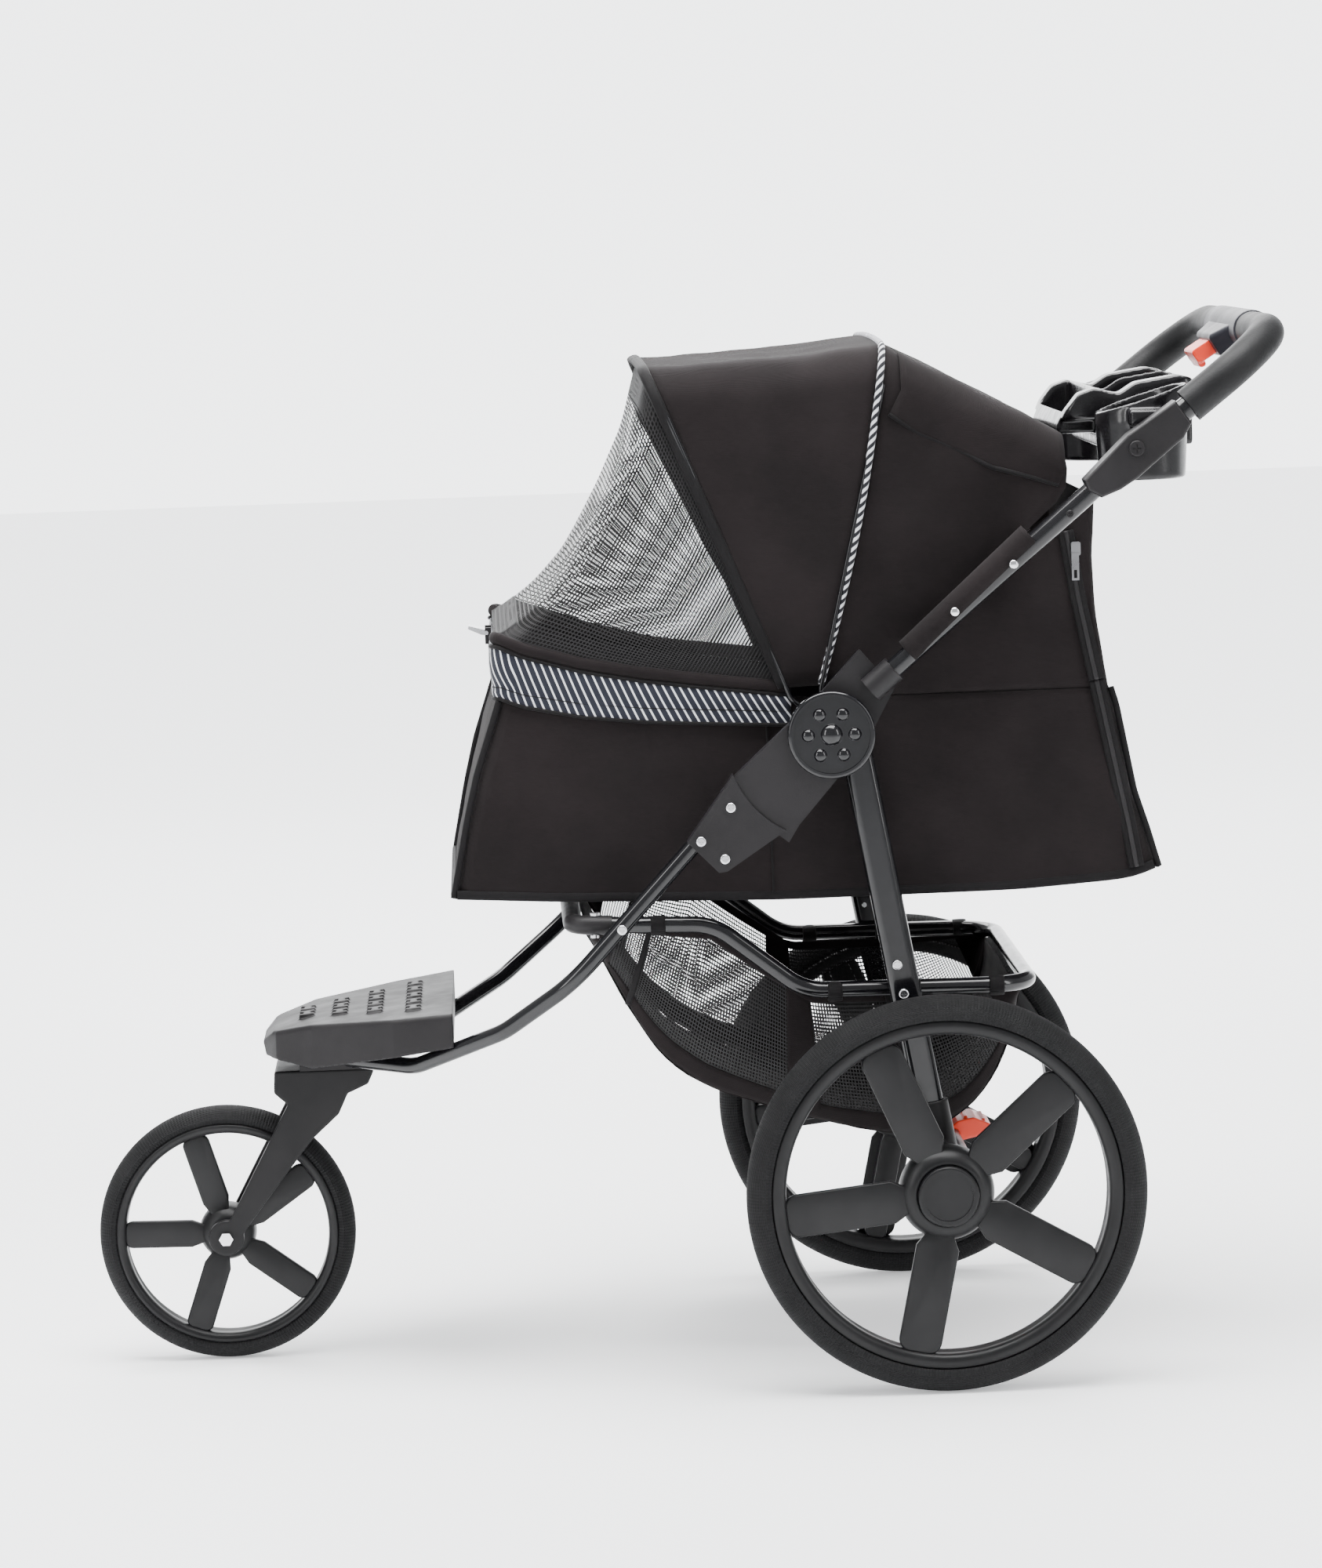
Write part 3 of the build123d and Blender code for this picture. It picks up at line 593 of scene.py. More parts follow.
def wheel_piece(name, node, side, body, rim_r, lip_r, hub_r, cap_r, spoke_w, phase, half):
    """A moulded rim with five paddle spokes and a domed hub, outside towards +Y times side."""
    c = node_centre(node)
    cx, cy, cz = (c.x - AXLE_X) / MM, c.y / MM, c.z / MM
    ring = [(rim_r - 2, -half + 5), (rim_r, -half + 3), (rim_r, half - 3), (rim_r - 2, half - 1.5),
            (lip_r + 5, half - 1.5), (lip_r + 1, half - 4), (lip_r, half - 7), (lip_r - 0.5, half - 12),
            (lip_r + 2, 0), (lip_r - 0.5, -half + 12), (lip_r, -half + 7), (lip_r + 5, -half + 3)]
    parts = [lathe("ring", ring, (cx, cy, cz), RIM, segments=144)]
    face = half - 4.5
    dome = [(5.2, face - 20), (5.2, face + 1), (cap_r - 1, face + 1), (cap_r, face + 3.2),
            (cap_r + 2.5, face + 4.2), (hub_r - 9, face + 2.5), (hub_r - 3, face - 1.5), (hub_r, face - 7),
            (hub_r + 1.5, face - 16), (hub_r + 1, -face + 2), (hub_r - 3, -face - 1), (20, -face - 1),
            (18, -half - 3), (7, -half - 3), (5.2, -half - 2)]
    if side < 0:
        dome = [(r, -h) for r, h in reversed(dome)]
    parts.append(lathe("hub", dome, (cx, cy, cz), RIM, segments=96))
    for i in range(5):
        a = radians(phase + 72 * i)
        outline = spoke_outline(hub_r - 6, lip_r + 1.5, spoke_w, spoke_w * 0.62)
        turned = [(cx + x * cos(a) - z * sin(a), cz + x * sin(a) + z * cos(a)) for x, z in outline]
        y0, y1 = sorted((cy + side * (face - 9), cy + side * (face - 1.5)))
        parts.append(plate("spoke", turned, y0, y1, RIM, width=2.2, segments=3))
        inner = spoke_outline(hub_r - 6, lip_r + 1, spoke_w * 0.55, spoke_w * 0.4)
        turned = [(cx + x * cos(a) - z * sin(a), cz + x * sin(a) + z * cos(a)) for x, z in inner]
        y0, y1 = sorted((cy - side * (face - 3), cy + side * (face - 8)))
        parts.append(plate("rib", turned, y0, y1, RIM, width=1.5, segments=2))
    piece = joined(name, parts, body)
    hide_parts(node)


REAR_WHEEL = dict(rim_r=167, lip_r=153, hub_r=44, cap_r=28.5, spoke_w=41, phase=66, half=19)
FRONT_WHEEL = dict(rim_r=110, lip_r=100.5, hub_r=27, cap_r=12, spoke_w=27, phase=1, half=18)
wheel_piece("rim_left", "rear_rim_left", side=1, body="rear_wheel_left", **REAR_WHEEL)
wheel_piece("rim_right", "rear_rim_right", side=-1, body="rear_wheel_right", **REAR_WHEEL)
wheel_piece("rim_front", "front_rim", side=1, body="front_wheel", **FRONT_WHEEL)


# ------------------------------------------------------------------ cabin
TOP_LINE = [(411, 722), (404, 714), (382, 704), (326, 688), (269, 677), (213, 669), (131, 657), (60, 655),
            (-178, 655)]
LOW_LINE = [(456, 478), (427, 476), (355, 471), (141, 465), (-85, 466), (-198, 473), (-219, 482)]


def line_z(points, x):
    p = sorted(points)
    return float(np.interp(x, [q[0] for q in p], [q[1] for q in p]))


FRONT_EDGE = [(454, 477), (438, 549), (427, 593), (412, 640), (404, 670), (406, 716)]
REAR_EDGE = [(-217, 482), (-208, 517), (-196, 555), (-181, 638), (-176, 656)]


def edge_x(points, z):
    p = sorted((b, a) for a, b in points)
    return float(np.interp(z, [q[0] for q in p], [q[1] for q in p]))


def plan_loop(half, corner, straight, across):
    """A rounded rectangle as (place from front to rear, y, shift in X), with no shift on the sides."""
    reach = half - corner
    quarter = [i / 6 * pi / 2 for i in range(1, 6)]
    loop = [(0.0, -reach + 2 * reach * i / across, 0) for i in range(across + 1)]
    loop += [(0.0, reach + corner * sin(a), corner * (1 - cos(a))) for a in quarter]
    loop += [(i / straight, half, None) for i in range(straight + 1)]
    loop += [(1.0, reach + corner * cos(a), -corner * (1 - sin(a))) for a in quarter]
    loop += [(1.0, reach - 2 * reach * i / across, 0) for i in range(across + 1)]
    loop += [(1.0, -reach - corner * sin(a), -corner * (1 - cos(a))) for a in quarter]
    loop += [(1 - i / straight, -half, None) for i in range(straight + 1)]
    return loop + [(0.0, -reach - corner * cos(a), corner * (1 - sin(a))) for a in quarter]


def cabin_rows(half, shrink, rows, lift=0.0):
    """The cabin's wall from its hem up to the rim, inset by shrink at the front and rear."""
    corner = 15.0
    loop = plan_loop(half, corner, 46, 26)
    made = []
    for r in range(rows + 1):
        t = r / rows
        row = []
        for s, y, bend in loop:
            xf, xb = 430.0, -195.0
            for _ in range(3):
                x = xf + (xb - xf) * s
                low = line_z(LOW_LINE, x) + lift
                z = low + (line_z(TOP_LINE, x) - low) * t
                xf, xb = edge_x(FRONT_EDGE, z) - shrink, edge_x(REAR_EDGE, z) + shrink
            inset = corner if bend is None else 0.0
            x = xf - inset + (xb - xf + 2 * inset) * s
            if bend:
                x -= bend
            belly = 3.2 * sin(pi * min(1.0, t * 1.15)) * (1 if abs(y) > half - 1 else 0)
            row.append((x, y + math.copysign(belly, y), z))
        made.append(row)
    return made


CABIN_HALF = 186.5
outer = ruffle(cabin_rows(CABIN_HALF, 0.0, 26), 2.2, 62.0, 3, hold=1)
cabin = grid("cabin_cloth", outer, CLOTH, closed=True, thickness=1.2, flip=True)
inner = cabin_rows(CABIN_HALF - 4.5, 4.0, 12, lift=6.0)
lining = grid("cabin_lining", inner, LINING, closed=True, thickness=0.8, flip=True)


def cabin_bottom():
    """The cabin's floor cloth, which sags 3 mm between its hems."""
    front, rear, half = 452, -214, 184.5
    rows = []
    for i in range(25):
        x = front + (rear - front) * i / 24
        z = line_z(LOW_LINE, x) + 0.3
        sag = 3.0 * sin(pi * i / 24)
        rows.append([(x, -half + 2 * half * j / 14, z - sag * sin(pi * j / 14)) for j in range(15)])
    return grid("cabin_underside", rows, CLOTH, thickness=1.6, flip=True)


under = cabin_bottom()
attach(cabin, "front_frame")
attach(lining, "front_frame")
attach(under, "front_frame")
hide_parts("cabin_tub")


def side_strip(name, points, y, r, flat):
    """A binding or seam on the cabin's left side and its mirror image on the right."""
    line = smooth_line([(x, y, z) for x, z in points], 60)
    left = sweep(name + "_left", line, TAPE, "front_frame", r=r, flat=flat)
    mirrored(left, name + "_right", "front_frame")


HEM = [(452, 479.5), (355, 473.5), (141, 467.5), (-85, 468.5), (-198, 475.5), (-215, 484)]
FRONT_BIND = [(455, 476), (440, 549), (429, 593), (413, 640), (405, 664)]
REAR_BIND = [(-220, 481), (-210, 517), (-198, 555), (-183, 638), (-178, 655)]
SIDE_SEAM = [(152, 640), (151, 560), (150, 470)]
side_strip("hem_tape", HEM, 187.6, r=4.5, flat=0.35)
side_strip("front_bind", FRONT_BIND, 184.5, r=3.4, flat=0.7)
side_strip("rear_bind", REAR_BIND, 183.5, r=3.2, flat=0.8)
side_strip("side_seam", SIDE_SEAM, 190.2, r=1.0, flat=0.5)
for name, x_hem in (("cross_hem_rear", -219), ("cross_hem_front", 455)):
    z_hem = line_z(LOW_LINE, x_hem) + 1
    line = [(x_hem, y, z_hem) for y in np.linspace(-184, 184, 40)]
    sweep(name, line, TAPE, "front_frame", r=3.2, up=(0, 0, 1))


# ------------------------------------------------------------------ canopy
HOOD_TOP = [(257, 973), (218, 972.5), (135, 977), (30, 987)]
FRONT_BASE, MID_BASE = (134, 667), (99, 668)


def hood_rows(count):
    """Hoops of the hood from the front wire (first row) back to the middle wire."""
    rows = []
    for i in range(count + 1):
        t = i / count
        base = blend_line(FRONT_BASE, MID_BASE, t)
        top = profile_at(HOOD_TOP, t)
        sag = sin(pi * t)
        row = arch(base, top, 192.5 + 5.0 * t - 2.5 * sag, radius=40, crown=3.0 - 5.0 * sag, bow_out=2.0,
                   w_base=193.5)
        bent = []
        for x, y, z in row:
            lift = (z - base[1]) / (top[1] - base[1])
            bent.append((x - 7.0 * t * sin(pi * min(1, max(0, lift))), y, z))
        rows.append(bent)
    return rows


hood = grid("canopy_hood_cloth", ruffle(hood_rows(18), 2.4, 70.0, 5, hold=1), CLOTH, thickness=1.2)
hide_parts("canopy_hood")

mid_line = [(x, y * 1.012, z + 1.0) for x, y, z in hood_rows(18)[-1]]
sweep("canopy_piping", resample(mid_line, 260), ROPE, "mid_bow", r=3.3, sides=12)
front_line = [(x + 1.0, y * 1.006, z + 0.6) for x, y, z in hood_rows(18)[0]]
front_tape = sweep("hood_front_tape", resample(front_line, 160), TAPE, "front_bow", r=5.5, flat=0.45)

REAR_TOP = [(28, 987), (2, 968), (-66, 934), (-135, 894)]
REAR_SIDE = [(58, 664), (19, 700), (-98, 805), (-139, 842), (-141, 866), (-135, 894)]


def rear_rows(count):
    """Hoops from the middle wire back to the handle tubes, bent to run along REAR_SIDE at the end."""
    rows = []
    for i in range(count + 1):
        t = i / count
        base = blend_line(MID_BASE, REAR_SIDE[0], t)
        top = profile_at(REAR_TOP, t)
        sag = sin(pi * t)
        row = arch(base, top, 197 - 6.0 * t, radius=40 - 12 * t, crown=3.0 - 6.0 * sag, bow_out=1.0,
                   w_base=193.5)
        bent = []
        for x, y, z in row:
            lift = min(1, max(0, (z - base[1]) / (top[1] - base[1])))
            front, rear = profile_at([MID_BASE, REAR_TOP[0]], lift), profile_at(REAR_SIDE, lift)
            bend = [(1 - t) * a + t * b - base[k] * (1 - lift) for k, (a, b) in enumerate(zip(front, rear))]
            end = [(1 - t) * REAR_TOP[0][k] + t * REAR_SIDE[-1][k] for k in (0, 1)]
            dx, dz = bend[0] - end[0] * lift, bend[1] - end[1] * lift
            bent.append((x + dx - 7.0 * (1 - t) * sin(pi * lift), y, z + dz))
        rows.append(bent)
    return rows


rear_hood = grid("rear_canopy_cloth", ruffle(rear_rows(20), 3.0, 58.0, 8, hold=1), CLOTH, thickness=1.2)
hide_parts("rear_canopy")


def flap_rows():
    """The weather flap: it lies over the rear canopy and hangs down its sides."""
    top = [(15, 979), (-50, 944.5), (-112, 911), (-139, 896)]
    drop = [(0, 40), (0.2, 47), (0.45, 42), (0.62, 44), (0.85, 30), (1.0, 22)]
    corner = 34
    rows = []
    for i in range(23):
        t = i / 22
        tx, tz = profile_at(top, t)
        d = float(np.interp(t, [a for a, _ in drop], [b for _, b in drop]))
        row = []
        w = 198.5 - 5.0 * t
        for j in range(9):
            free = 1 - j / 8
            wave = 1.5 * sin(9 * t + 2)
            row.append((tx + 0.30 * free * d, w + wave * free, tz - corner - 0.55 * d * free))
        for j in range(1, 8):
            a = j / 8 * pi / 2
            row.append((tx, w - corner + corner * cos(a), tz - corner + corner * sin(a)))
        for j in range(13):
            row.append((tx, (w - corner) * (1 - j / 12), tz + 2.5 * sin(pi * j / 24)))
        rows.append(row + [(x, -y, z) for x, y, z in reversed(row[:-1])])
    return rows


flap = grid("canopy_flap", ruffle(flap_rows(), 1.6, 45.0, 12, hold=1), CLOTH, thickness=1.4)
flap_edge = [r[0] for r in flap_rows()]
edge_left = sweep("flap_edge_left", resample(flap_edge, 60), TAPE, r=2.2)
edge_right = sweep("flap_edge_right", resample([(x, -y, z) for x, y, z in flap_edge], 60), TAPE, r=2.2)

# rear wall of the cabin: a U of cloth from the handle tubes round the back
TUBE_LINE = [(70, 660), (19, 700), (-98, 806), (-163, 846)]
BACK_LINE = [(-176, 655), (-166, 728), (-164, 788), (-167, 838)]
BACK_FOOT = (62, -176, 655)     # front and rear end of the wall's foot, and its height


def back_rows():
    corner, half = 8, 181.5
    foot_front, foot_rear, foot_z = BACK_FOOT
    rows = []
    for i in range(17):
        t = i / 16
        row = []
        xb, zb = profile_at(BACK_LINE, t)
        for j in range(25):
            s = j / 24
            xt, zt = profile_at(TUBE_LINE, s)
            xl = foot_front + (foot_rear - foot_front) * s
            x = xl + (xt - xl) * t
            x = max(x, xb + corner) if s > 0.9 else x
            y = CABIN_HALF + 3.0 * t ** 0.5 + 2.0 * sin(pi * t) * sin(pi * s)
            row.append((x, y, foot_z + (zt - foot_z) * t))
        for j in range(1, 6):
            a = j / 6 * pi / 2
            row.append((xb + corner - corner * sin(a), half + corner * cos(a), zb))
        for j in range(13):
            row.append((xb - 5 * sin(pi * j / 24) * sin(pi * t), half * (1 - j / 12), zb))
        rows.append(row + [(x, -y, z) for x, y, z in reversed(row[:-1])])
    return rows


back = grid("cabin_back_cloth", ruffle(back_rows(), 2.4, 60.0, 15, hold=1), CLOTH, thickness=1.2)
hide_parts("rear_panel")


def blend_back(o):
    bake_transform(o)


blend_back(back)
for o in (rear_hood, flap, edge_left, edge_right):
    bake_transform(o)
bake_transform(hood)

# the sleeve that ties the canopy to the handle tube, with two press studs
SLEEVE_ENDS = ((19, 701.2), (-98, 807.2))
STUDS = ((-25, 738), (-81, 781))
STUD = [(0.01, 0), (3.6, 0.0), (4.4, 0.5), (4.4, 1.2), (3.2, 2.2), (0.01, 2.6)]


def tube_y(x):
    """The handle tube's distance from the centre plane: 236 at its foot, 258.5 at its head."""
    return 236 + (x - 52) * (258.5 - 236) / (-210 - 52)


for side in (1, -1):
    tag = "left" if side > 0 else "right"
    line = []
    for i in range(40):
        x, z = blend_line(*SLEEVE_ENDS, i / 39)
        line.append((x, side * tube_y(x), z))
    sweep("tube_sleeve_" + tag, line, CLOTH, "handle_frame", r=12.4, sides=20)
    rows = [[(x, side * (abs(y) - 11.5 * k - (abs(y) - 205 - 11.5) * max(0, k - 1)), z + 6 - 3 * k)
             for x, y, z in line] for k in (0, 0.5, 1.0, 1.5, 2.0)]
    web = grid("sleeve_web_" + tag, rows, CLOTH, "handle_frame", thickness=1.2)
    snap = STUD if side > 0 else [(r, -h) for r, h in reversed(STUD)]
    for x, z in STUDS:
        lathe("snap_%s_%d" % (tag, abs(x)), snap, (x, side * (tube_y(x) + 12.0), z), STEEL, "handle_frame",
              segments=24, closed=False)

# zips beside the back panel
ZIP = [(-138, 806), (-148, 744), (-191, 525), (-198, 482)]
for part, t0, t1, body in (("upper", 0.0, 0.44, None), ("lower", 0.44, 1.0, "front_frame")):
    pts = [profile_at(ZIP, t0 + (t1 - t0) * i / 60) for i in range(61)]
    y_zip = 191.6 if part == "upper" else 190.4
    tape = sweep("zip_tape_%s_left" % part, [(x, y_zip, z) for x, z in pts], TAPE, r=7.5, flat=0.12)
    coil = sweep("zip_coil_%s_left" % part, [(x, y_zip + 1.2, z) for x, z in pts], GREY, r=2.2, flat=0.45)
    for o, base in ((tape, "zip_tape"), (coil, "zip_coil")):
        for q in (o, mirrored(o, "%s_%s_right" % (base, part))):
            if body:
                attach(q, body)
            else:
                blend_back(q)


# ------------------------------------------------------------------ mesh window
WINDOW_LINE = [(257, 965), (273, 905), (299, 849), (318, 815), (337, 783), (367, 751), (395, 730), (409, 723)]
RIM_LINE = [(136, 664), (213, 674), (269, 682), (326, 693), (382, 709), (404, 719)]


def window_rows(count):
    """From the front hoop (first row) down to the rim of the cabin (last row)."""
    start = arch(FRONT_BASE, (256, 969), 190.5, radius=36, crown=2.0)
    n = len(start)
    front_x, front_z, front_half = 408.5, 721.5, 172
    leg, corner, radius = 16, 9, 18
    rim = []
    for i in range(leg):
        x, z = profile_at(RIM_LINE, i / leg * 0.93)
        rim.append((x, front_half + radius, z))
    for i in range(corner):
        a = i / corner * pi / 2
        _, z = profile_at(RIM_LINE, 0.93 + 0.07 * i / corner)
        rim.append((390 + radius * sin(a), front_half + radius * cos(a), z + 1.0 * i / corner))
    for i in range(15):
        rim.append((front_x, front_half * (1 - 2 * i / 14), front_z))
    rim += [(x, -y, z) for x, y, z in reversed(rim[:leg + corner])]
    top_x, _, top_z = start[n // 2]
    rows = []
    for i in range(count + 1):
        t = i / count
        cx, cz = profile_at(WINDOW_LINE, t)
        mx, mz = top_x + (front_x - top_x) * t, top_z + (front_z - top_z) * t
        row = []
        for j in range(n):
            p, q = np.array(start[j]), np.array(rim[j])
            c = p + (q - p) * t
            near_top = min(1.0, max(0.0, (j if j <= n // 2 else n - 1 - j) - 3) / 18.0)
            c[0] += (cx - mx) * near_top ** 1.5
            c[2] += (cz - mz) * near_top ** 1.5
            c[1] -= math.copysign(4.0 * sin(pi * t) * near_top, c[1])
            row.append(tuple(c))
        rows.append(row)
    return rows


window = grid("mesh_window_net", ruffle(window_rows(22), 1.2, 60.0, 21, hold=1), MESH, sub=1)
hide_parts("mesh_window")
inside = np.array(window_rows(22)) * (1, 0.997, 1)
upper_band = grid("window_upper_band", inside[:3], TAPE, thickness=0.8)
lower_band = grid("window_lower_band", inside[-3:], TAPE, thickness=0.8)
for o in (window, upper_band, lower_band):
    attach(o, "front_bow")
    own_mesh(o)


# ------------------------------------------------------------------ rim band
BAND_START, BAND_RUN = 128, 283.0       # where the band begins behind the hub, and its run to the front


def rim_path(y, front_x, lift=0.0, count=150):
    """The band's path from the left hub round the front to the right hub."""
    pts = []
    corner = 20.0
    for x in np.linspace(BAND_START, front_x - corner, 46):
        pts.append((x, y, line_z(RIM_LINE, x) + lift))
    for i in range(1, 12):
        a = i / 12 * pi / 2
        x = front_x - corner + corner * sin(a)
        pts.append((x, y - corner + corner * cos(a), line_z(RIM_LINE, x) + lift))
    end = line_z(RIM_LINE, front_x) + lift
    for s in np.linspace(1, -1, 30):
        pts.append((front_x, (y - corner) * s, end))
    left = pts[:46 + 11]
    return resample(pts + [(a, -b, c) for a, b, c in reversed(left)], count)


def band_split(x):
    """The crease's share of the band's depth: the lower strip is narrow in front and grows."""
    return 0.55 + 0.23 * (x - BAND_START) / BAND_RUN


def band_row(t, proud=0.0):
    """One line along the band, t of its depth down; None follows the crease."""
    row = []
    for x, y, z in rim_path(191.5, 411.0, -4.0, 190):
        split = band_split(x)
        share = split if t is None else t
        depth = 28.0 + 22.0 * (x - BAND_START) / BAND_RUN
        if share < split:
            out = 2.8 * sin(pi * share / split)
        else:
            out = 1.6 * sin(pi * (share - split) / (1.0001 - split))
        out += proud - 0.8 * share
        ahead = out if x > 392 else 0.0
        aside = out if abs(y) > 171.4 else out * abs(y) / 171.5 * 0.3
        row.append((x + ahead, y + math.copysign(aside, y), z - depth * share))
    return row


band_rows = ruffle([band_row(i / 16) for i in range(17)], 0.7, 30.0, 31)
rim_band = grid("rim_stripes", band_rows, BAND, "front_frame", thickness=1.6)
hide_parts("rim_band")
sweep("rim_roll", rim_path(189.5, 407.5, 3.5, 200), CLOTH, "front_frame", r=6.0, flat=0.85, sides=14)
for name, share, size in (("rim_cord_top", 0.0, 2.0), ("rim_stitch", None, 0.5), ("rim_cord_low", 1.0, 1.7)):
    sweep(name, band_row(share, 0.4), TAPE, "front_frame", r=size)


# ------------------------------------------------------------------ basket
BAG_CORNERS = [(-83, 366), (-78, 310), (-50, 262), (-10, 229), (30, 224), (64, 230), (156, 259), (240, 287),
               (267, 314), (286, 352), (331, 437)]
BAG_LOW = [(x, z) for x, _, z in smooth_line([(x, 0, z) for x, z in BAG_CORNERS], 60, 24)]
BAG_HALF = 181.5
BAG_HIGH = [(-88, 369), (-40, 369), (118, 369), (165, 402), (210, 436), (331, 441)]


def bag_wall_rows(count, t0=0.0, t1=1.0, s0=0.0, s1=1.0, columns=40, proud=0.0):
    """Part of the basket's left wall: t0 to t1 of its depth and s0 to s1 of its length."""
    rows = []
    for i in range(count + 1):
        t = t0 + (t1 - t0) * i / count
        row = []
        for j in range(columns + 1):
            s = s0 + (s1 - s0) * j / columns
            xl, zl = profile_at(BAG_LOW, s)
            xh, zh = profile_at(BAG_HIGH, s)
            belly = 5.0 * sin(pi * t) * sin(pi * s)
            tuck = 22.0 * t ** 3
            y = BAG_HALF - tuck + belly * (0.2 if t > 0.8 else 0.6) + proud
            row.append((xh + (xl - xh) * t, y, zh + (zl - zh) * t - 1.0 * sin(pi * s) * t))
        rows.append(row)
    return rows


def basket_pair(name, rows, material, thickness=0.0):
    """A wrinkled piece of the basket's left wall and its mirror image."""
    left = grid(name + "_left", ruffle(rows, 2.5, 48.0, 41), material, "basket_frame", thickness=thickness)
    right = mirrored(left, name + "_right", "basket_frame")
    return left, right


for net in basket_pair("basket_net", bag_wall_rows(14), BASKET_NET):
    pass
UPRIGHT_BANDS = (("rear", 0.0, 0.08), ("mid", 0.47, 0.53), ("front", 0.93, 1.0))
for name, s0, s1 in UPRIGHT_BANDS:
    rows = bag_wall_rows(10, s0=s0, s1=s1, columns=8, proud=0.9)
    basket_pair("basket_band_" + name, rows, CLOTH, thickness=1.6)
for name, s1, t0, t1, count in (("hem", 1.0, 0.0, 0.06, 3), ("base", 0.93, 0.86, 1.0, 4)):
    rows = bag_wall_rows(count, t0=t0, t1=t1, s1=s1, columns=44, proud=0.9)
    basket_pair("basket_band_" + name, rows, CLOTH, thickness=1.6)

floor_rows = []
for i in range(45):
    x, z = profile_at(BAG_LOW, i / 44)
    z -= 1.0 * sin(pi * i / 44)
    floor_rows.append([(x, 160.5 * (1 - 2 * j / 20), z + 0.04 * abs(10 - j)) for j in range(21)])
bag_floor = grid("basket_floor", ruffle(floor_rows, 2.0, 60.0, 45), CLOTH, "basket_frame", thickness=1.4)
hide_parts("basket_bag")
for s, k in ((0.30, 0), (0.86, 1)):
    seam = [tuple(np.array(r[0]) + (0, 2.0, 0)) for r in bag_wall_rows(24, s0=s, s1=s + 0.01, columns=1)]
    left = sweep("basket_seam_%d_left" % k, resample(seam, 40), TAPE, "basket_frame", r=3.0, flat=0.5)
    mirrored(left, "basket_seam_%d_right" % k, "basket_frame")
for k, (x, z) in enumerate(((-60, 374), (20, 374), (95, 374), (262, 444))):
    ring = [(x, 197.0 + 9.2 * cos(a), z + 9.2 * sin(a)) for a in np.linspace(-0.15 * pi, 1.85 * pi, 40)]
    left = sweep("basket_loop_%d_left" % k, ring, TAPE, "basket_frame", r=7.0, flat=0.09, sides=12)
    mirrored(left, "basket_loop_%d_right" % k, "basket_frame")


# ------------------------------------------------------------------ soft solids made by simulation
def copied(node, name, material):
    """A new piece from a CAD node's mesh, with one material."""
    o = new_object(name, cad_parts[node].data.copy())
    o.data.materials.clear()
    o.data.materials.append(material)
    return o


def stand_in(o, node, body):
    smooth_shade(o.data)
    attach(o, body)
    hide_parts(node)


def cloth_pad(node, name, material, body, cap, shrink=0.985, voxel=5.0, pressure=4.0):
    """Inflates a copy of a CAD pad with the cloth solver, no point moving more than cap."""
    o = copied(node, name, material)
    mid = node_centre(node)
    for v in o.data.vertices:
        v.co = mid + (v.co - mid) * shrink
    remesh(o, voxel)
    apply(o)
    rest = np.array([v.co for v in o.data.vertices])
    m = o.modifiers.new("cloth", "CLOTH")
    m.settings.use_pressure = True
    m.settings.uniform_pressure_force = pressure
    m.settings.effector_weights.gravity = 0.0
    m.settings.quality = 4
    m.point_cache.frame_start = 1
    m.point_cache.frame_end = 20
    for number in range(1, 21):
        bpy.context.scene.frame_set(number)
    apply(o)
    now = np.array([v.co for v in o.data.vertices])
    move = now - rest
    size = np.linalg.norm(move, axis=1)[:, None] + 1e-9
    now = rest + move / size * np.minimum(size, cap * MM)
    o.data.vertices.foreach_set("co", now.astype(np.float32).ravel())
    bpy.context.scene.frame_set(1)
    subdivide(o)
    stand_in(o, node, body)
    return o


pad = cloth_pad("cabin_mat", "cabin_pad", LINING, "front_frame", cap=5.0)


# ------------------------------------------------------------------ tray and mouldings with softened forms
def softened(node, name, material, body, voxel, rounds):
    """A copy of a CAD moulding with its edges rounded as a mould would leave them."""
    o = copied(node, name, material)
    remesh(o, voxel)
    m = o.modifiers.new("smooth", "SMOOTH")
    m.factor = 0.5
    m.iterations = rounds
    apply(o)
    stand_in(o, node, body)


softened("tray", "cup_tray", TRAY, "handle_frame", 1.6, 18)
softened("fork", "caster_fork_moulding", FORK_GREY, "caster_fork", 1.2, 5)
softened("step", "footrest", STEP, "front_frame", 1.2, 3)
softened("brake_pedal", "brake_pedal_pad", RED, "brake_pedal", 0.8, 4)
softened("fold_trigger", "fold_trigger_lever", RED, "fold_trigger", 0.8, 4)
softened("leg_sockets", "leg_feet", FORK_GREY, "rear_frame", 1.0, 4)


# ------------------------------------------------------------------ light, floor and camera
bpy.ops.mesh.primitive_plane_add(size=30, location=(0, 0, 0))
floor = bpy.context.object
floor.name = "studio_floor"
floor_white = new_material("studio_floor", (0.95, 0.955, 0.965), 0.7, spec=0.1)
floor.data.materials.append(floor_white)
paper = Nodes(floor_white)
paper.shader.inputs["Emission Color"].default_value = (0.97, 0.985, 1.0, 1.0)
far = paper.add("ShaderNodeMapRange", interpolation_type="SMOOTHSTEP")
for key, value in (("From Min", -0.6), ("From Max", -4.5), ("To Min", 0.35), ("To Max", 2.5)):
    far.inputs[key].default_value = value
paper.link(paper.axes(paper.coords())[1], far.inputs["Value"])
paper.link(far.outputs["Result"], paper.shader.inputs["Emission Strength"])

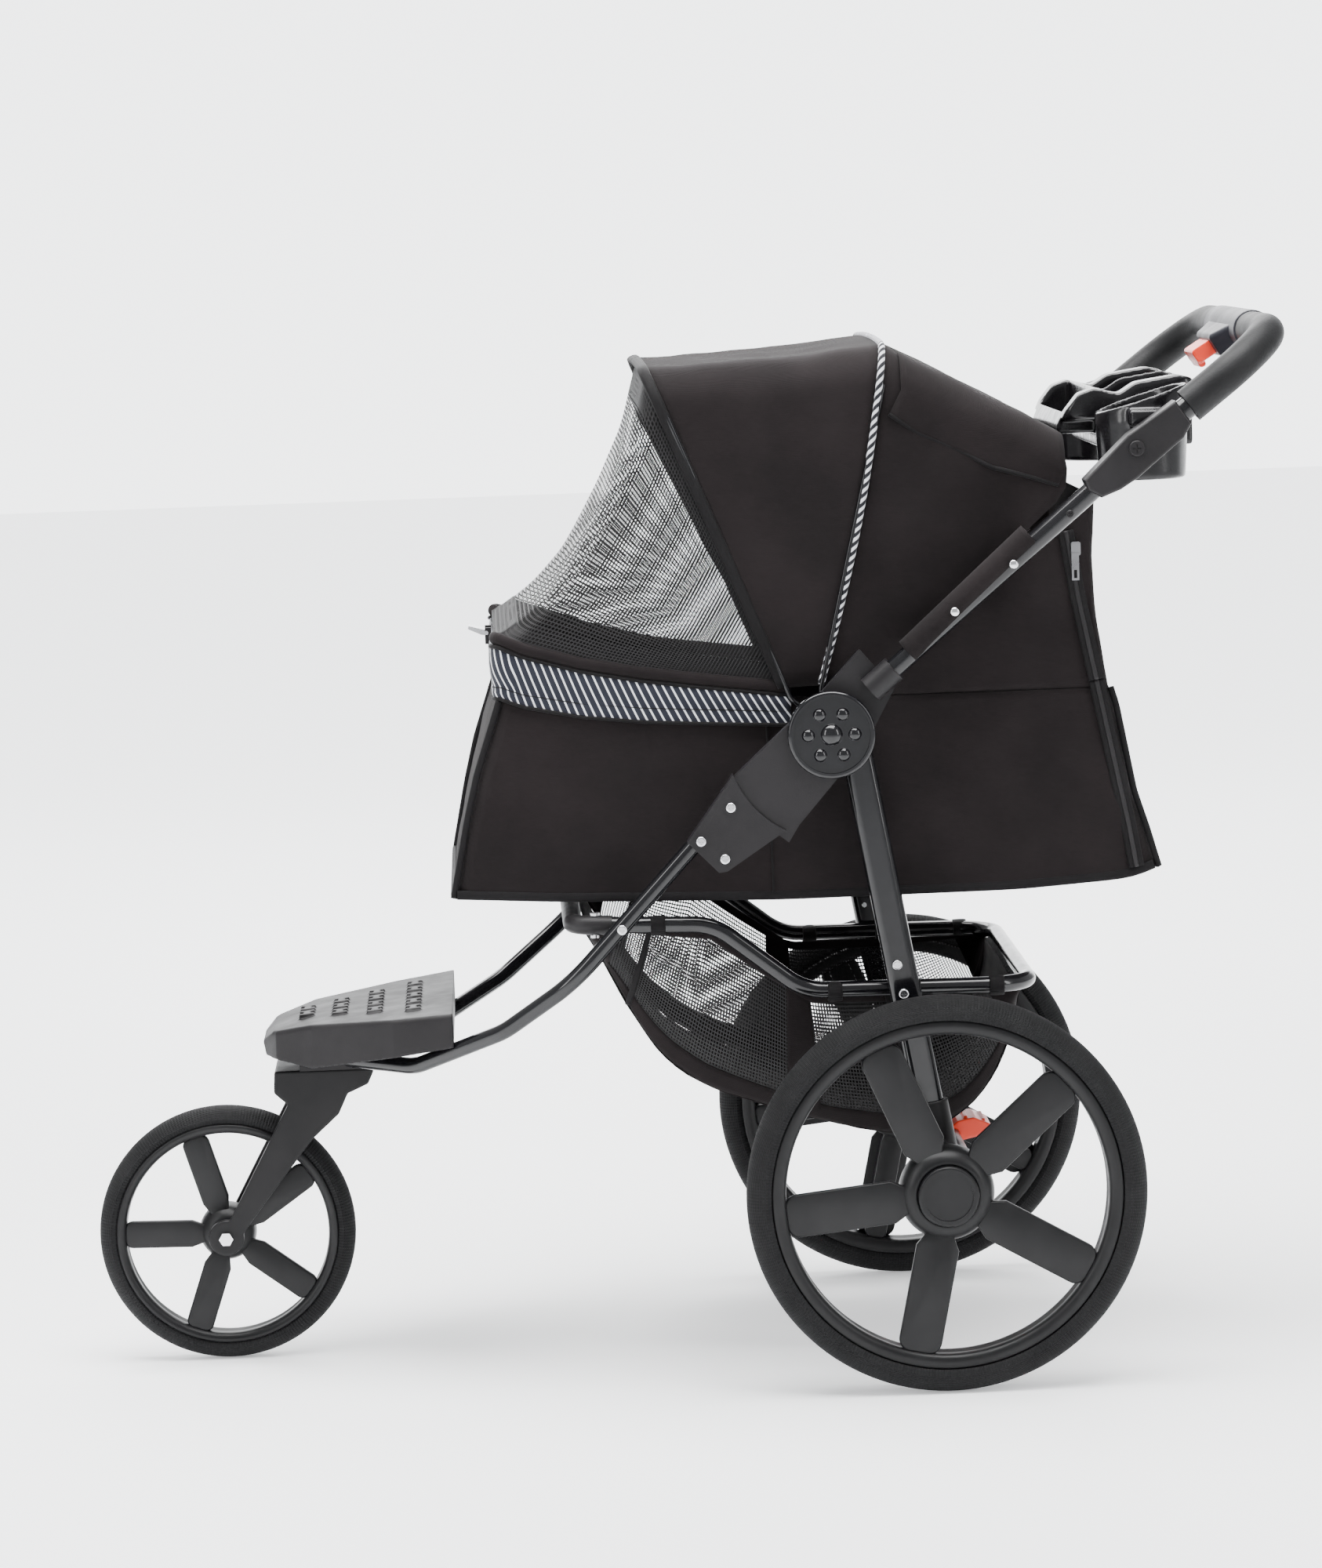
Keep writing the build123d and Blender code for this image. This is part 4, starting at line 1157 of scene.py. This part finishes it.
# a white backdrop on the far side (-Y), and a dimmer room on the camera's side
world = bpy.data.worlds.new("studio")
bpy.context.scene.world = world
world.use_nodes = True
sky = world.node_tree
backdrop = sky.nodes["Background"]
backdrop.inputs["Color"].default_value = (0.97, 0.985, 1.0, 1.0)
direction = sky.nodes.new("ShaderNodeTexCoord").outputs["Generated"]
split_axes = sky.nodes.new("ShaderNodeSeparateXYZ")
sky.links.new(direction, split_axes.inputs[0])
fade = sky.nodes.new("ShaderNodeMapRange")
fade.interpolation_type = "SMOOTHSTEP"
for key, value in (("From Min", -0.95), ("From Max", -0.78), ("To Min", 4.2), ("To Max", 0.7)):
    fade.inputs[key].default_value = value
sky.links.new(split_axes.outputs[1], fade.inputs["Value"])
sky.links.new(fade.outputs["Result"], backdrop.inputs["Strength"])


def area(name, place, target, size, power):
    data = bpy.data.lights.new(name, "AREA")
    data.shape = "RECTANGLE"
    data.size, data.size_y = size
    data.energy = power
    o = new_object(name, data)
    o.location = place
    o.rotation_mode = "QUATERNION"
    o.rotation_quaternion = (Vector(target) - Vector(place)).to_track_quat("-Z", "Y")


area("top_box", (0.1, 0.3, 3.4), (0, 0, 0.3), (3.2, 2.4), 400)
area("left_box", (2.6, 1.8, 1.6), (0, 0, 0.5), (0.5, 2.2), 40)
area("right_box", (-2.6, 1.8, 1.6), (0, 0, 0.5), (0.5, 2.2), 32)
area("back_box", (0.0, -2.6, 2.4), (0, -0.6, 0.0), (2.6, 1.4), 90)

CAMERA_PLACE = (408.9, 5166.8, 1139.7)
YAW, PITCH, ROLL = radians(-1.781), radians(6.426), radians(1.982)
FOCAL_PX, TALL_PX = 6713.5, 2000.0
view_dir = np.array([sin(YAW) * cos(PITCH), -cos(YAW) * cos(PITCH), -sin(PITCH)])
right = np.cross(view_dir, [0, 0, 1])
right /= np.linalg.norm(right)
down = np.cross(view_dir, right)
right, down = cos(ROLL) * right + sin(ROLL) * down, -sin(ROLL) * right + cos(ROLL) * down
camera_data = bpy.data.cameras.new("camera")
camera_data.sensor_width = 36.0
camera_data.lens = FOCAL_PX / TALL_PX * camera_data.sensor_width
camera_data.clip_end = 100.0
camera = new_object("camera", camera_data)
turn = Matrix((right, -down, -view_dir)).transposed().to_4x4()
camera.matrix_world = Matrix.Translation(at(*CAMERA_PLACE)) @ turn
bpy.context.scene.camera = camera
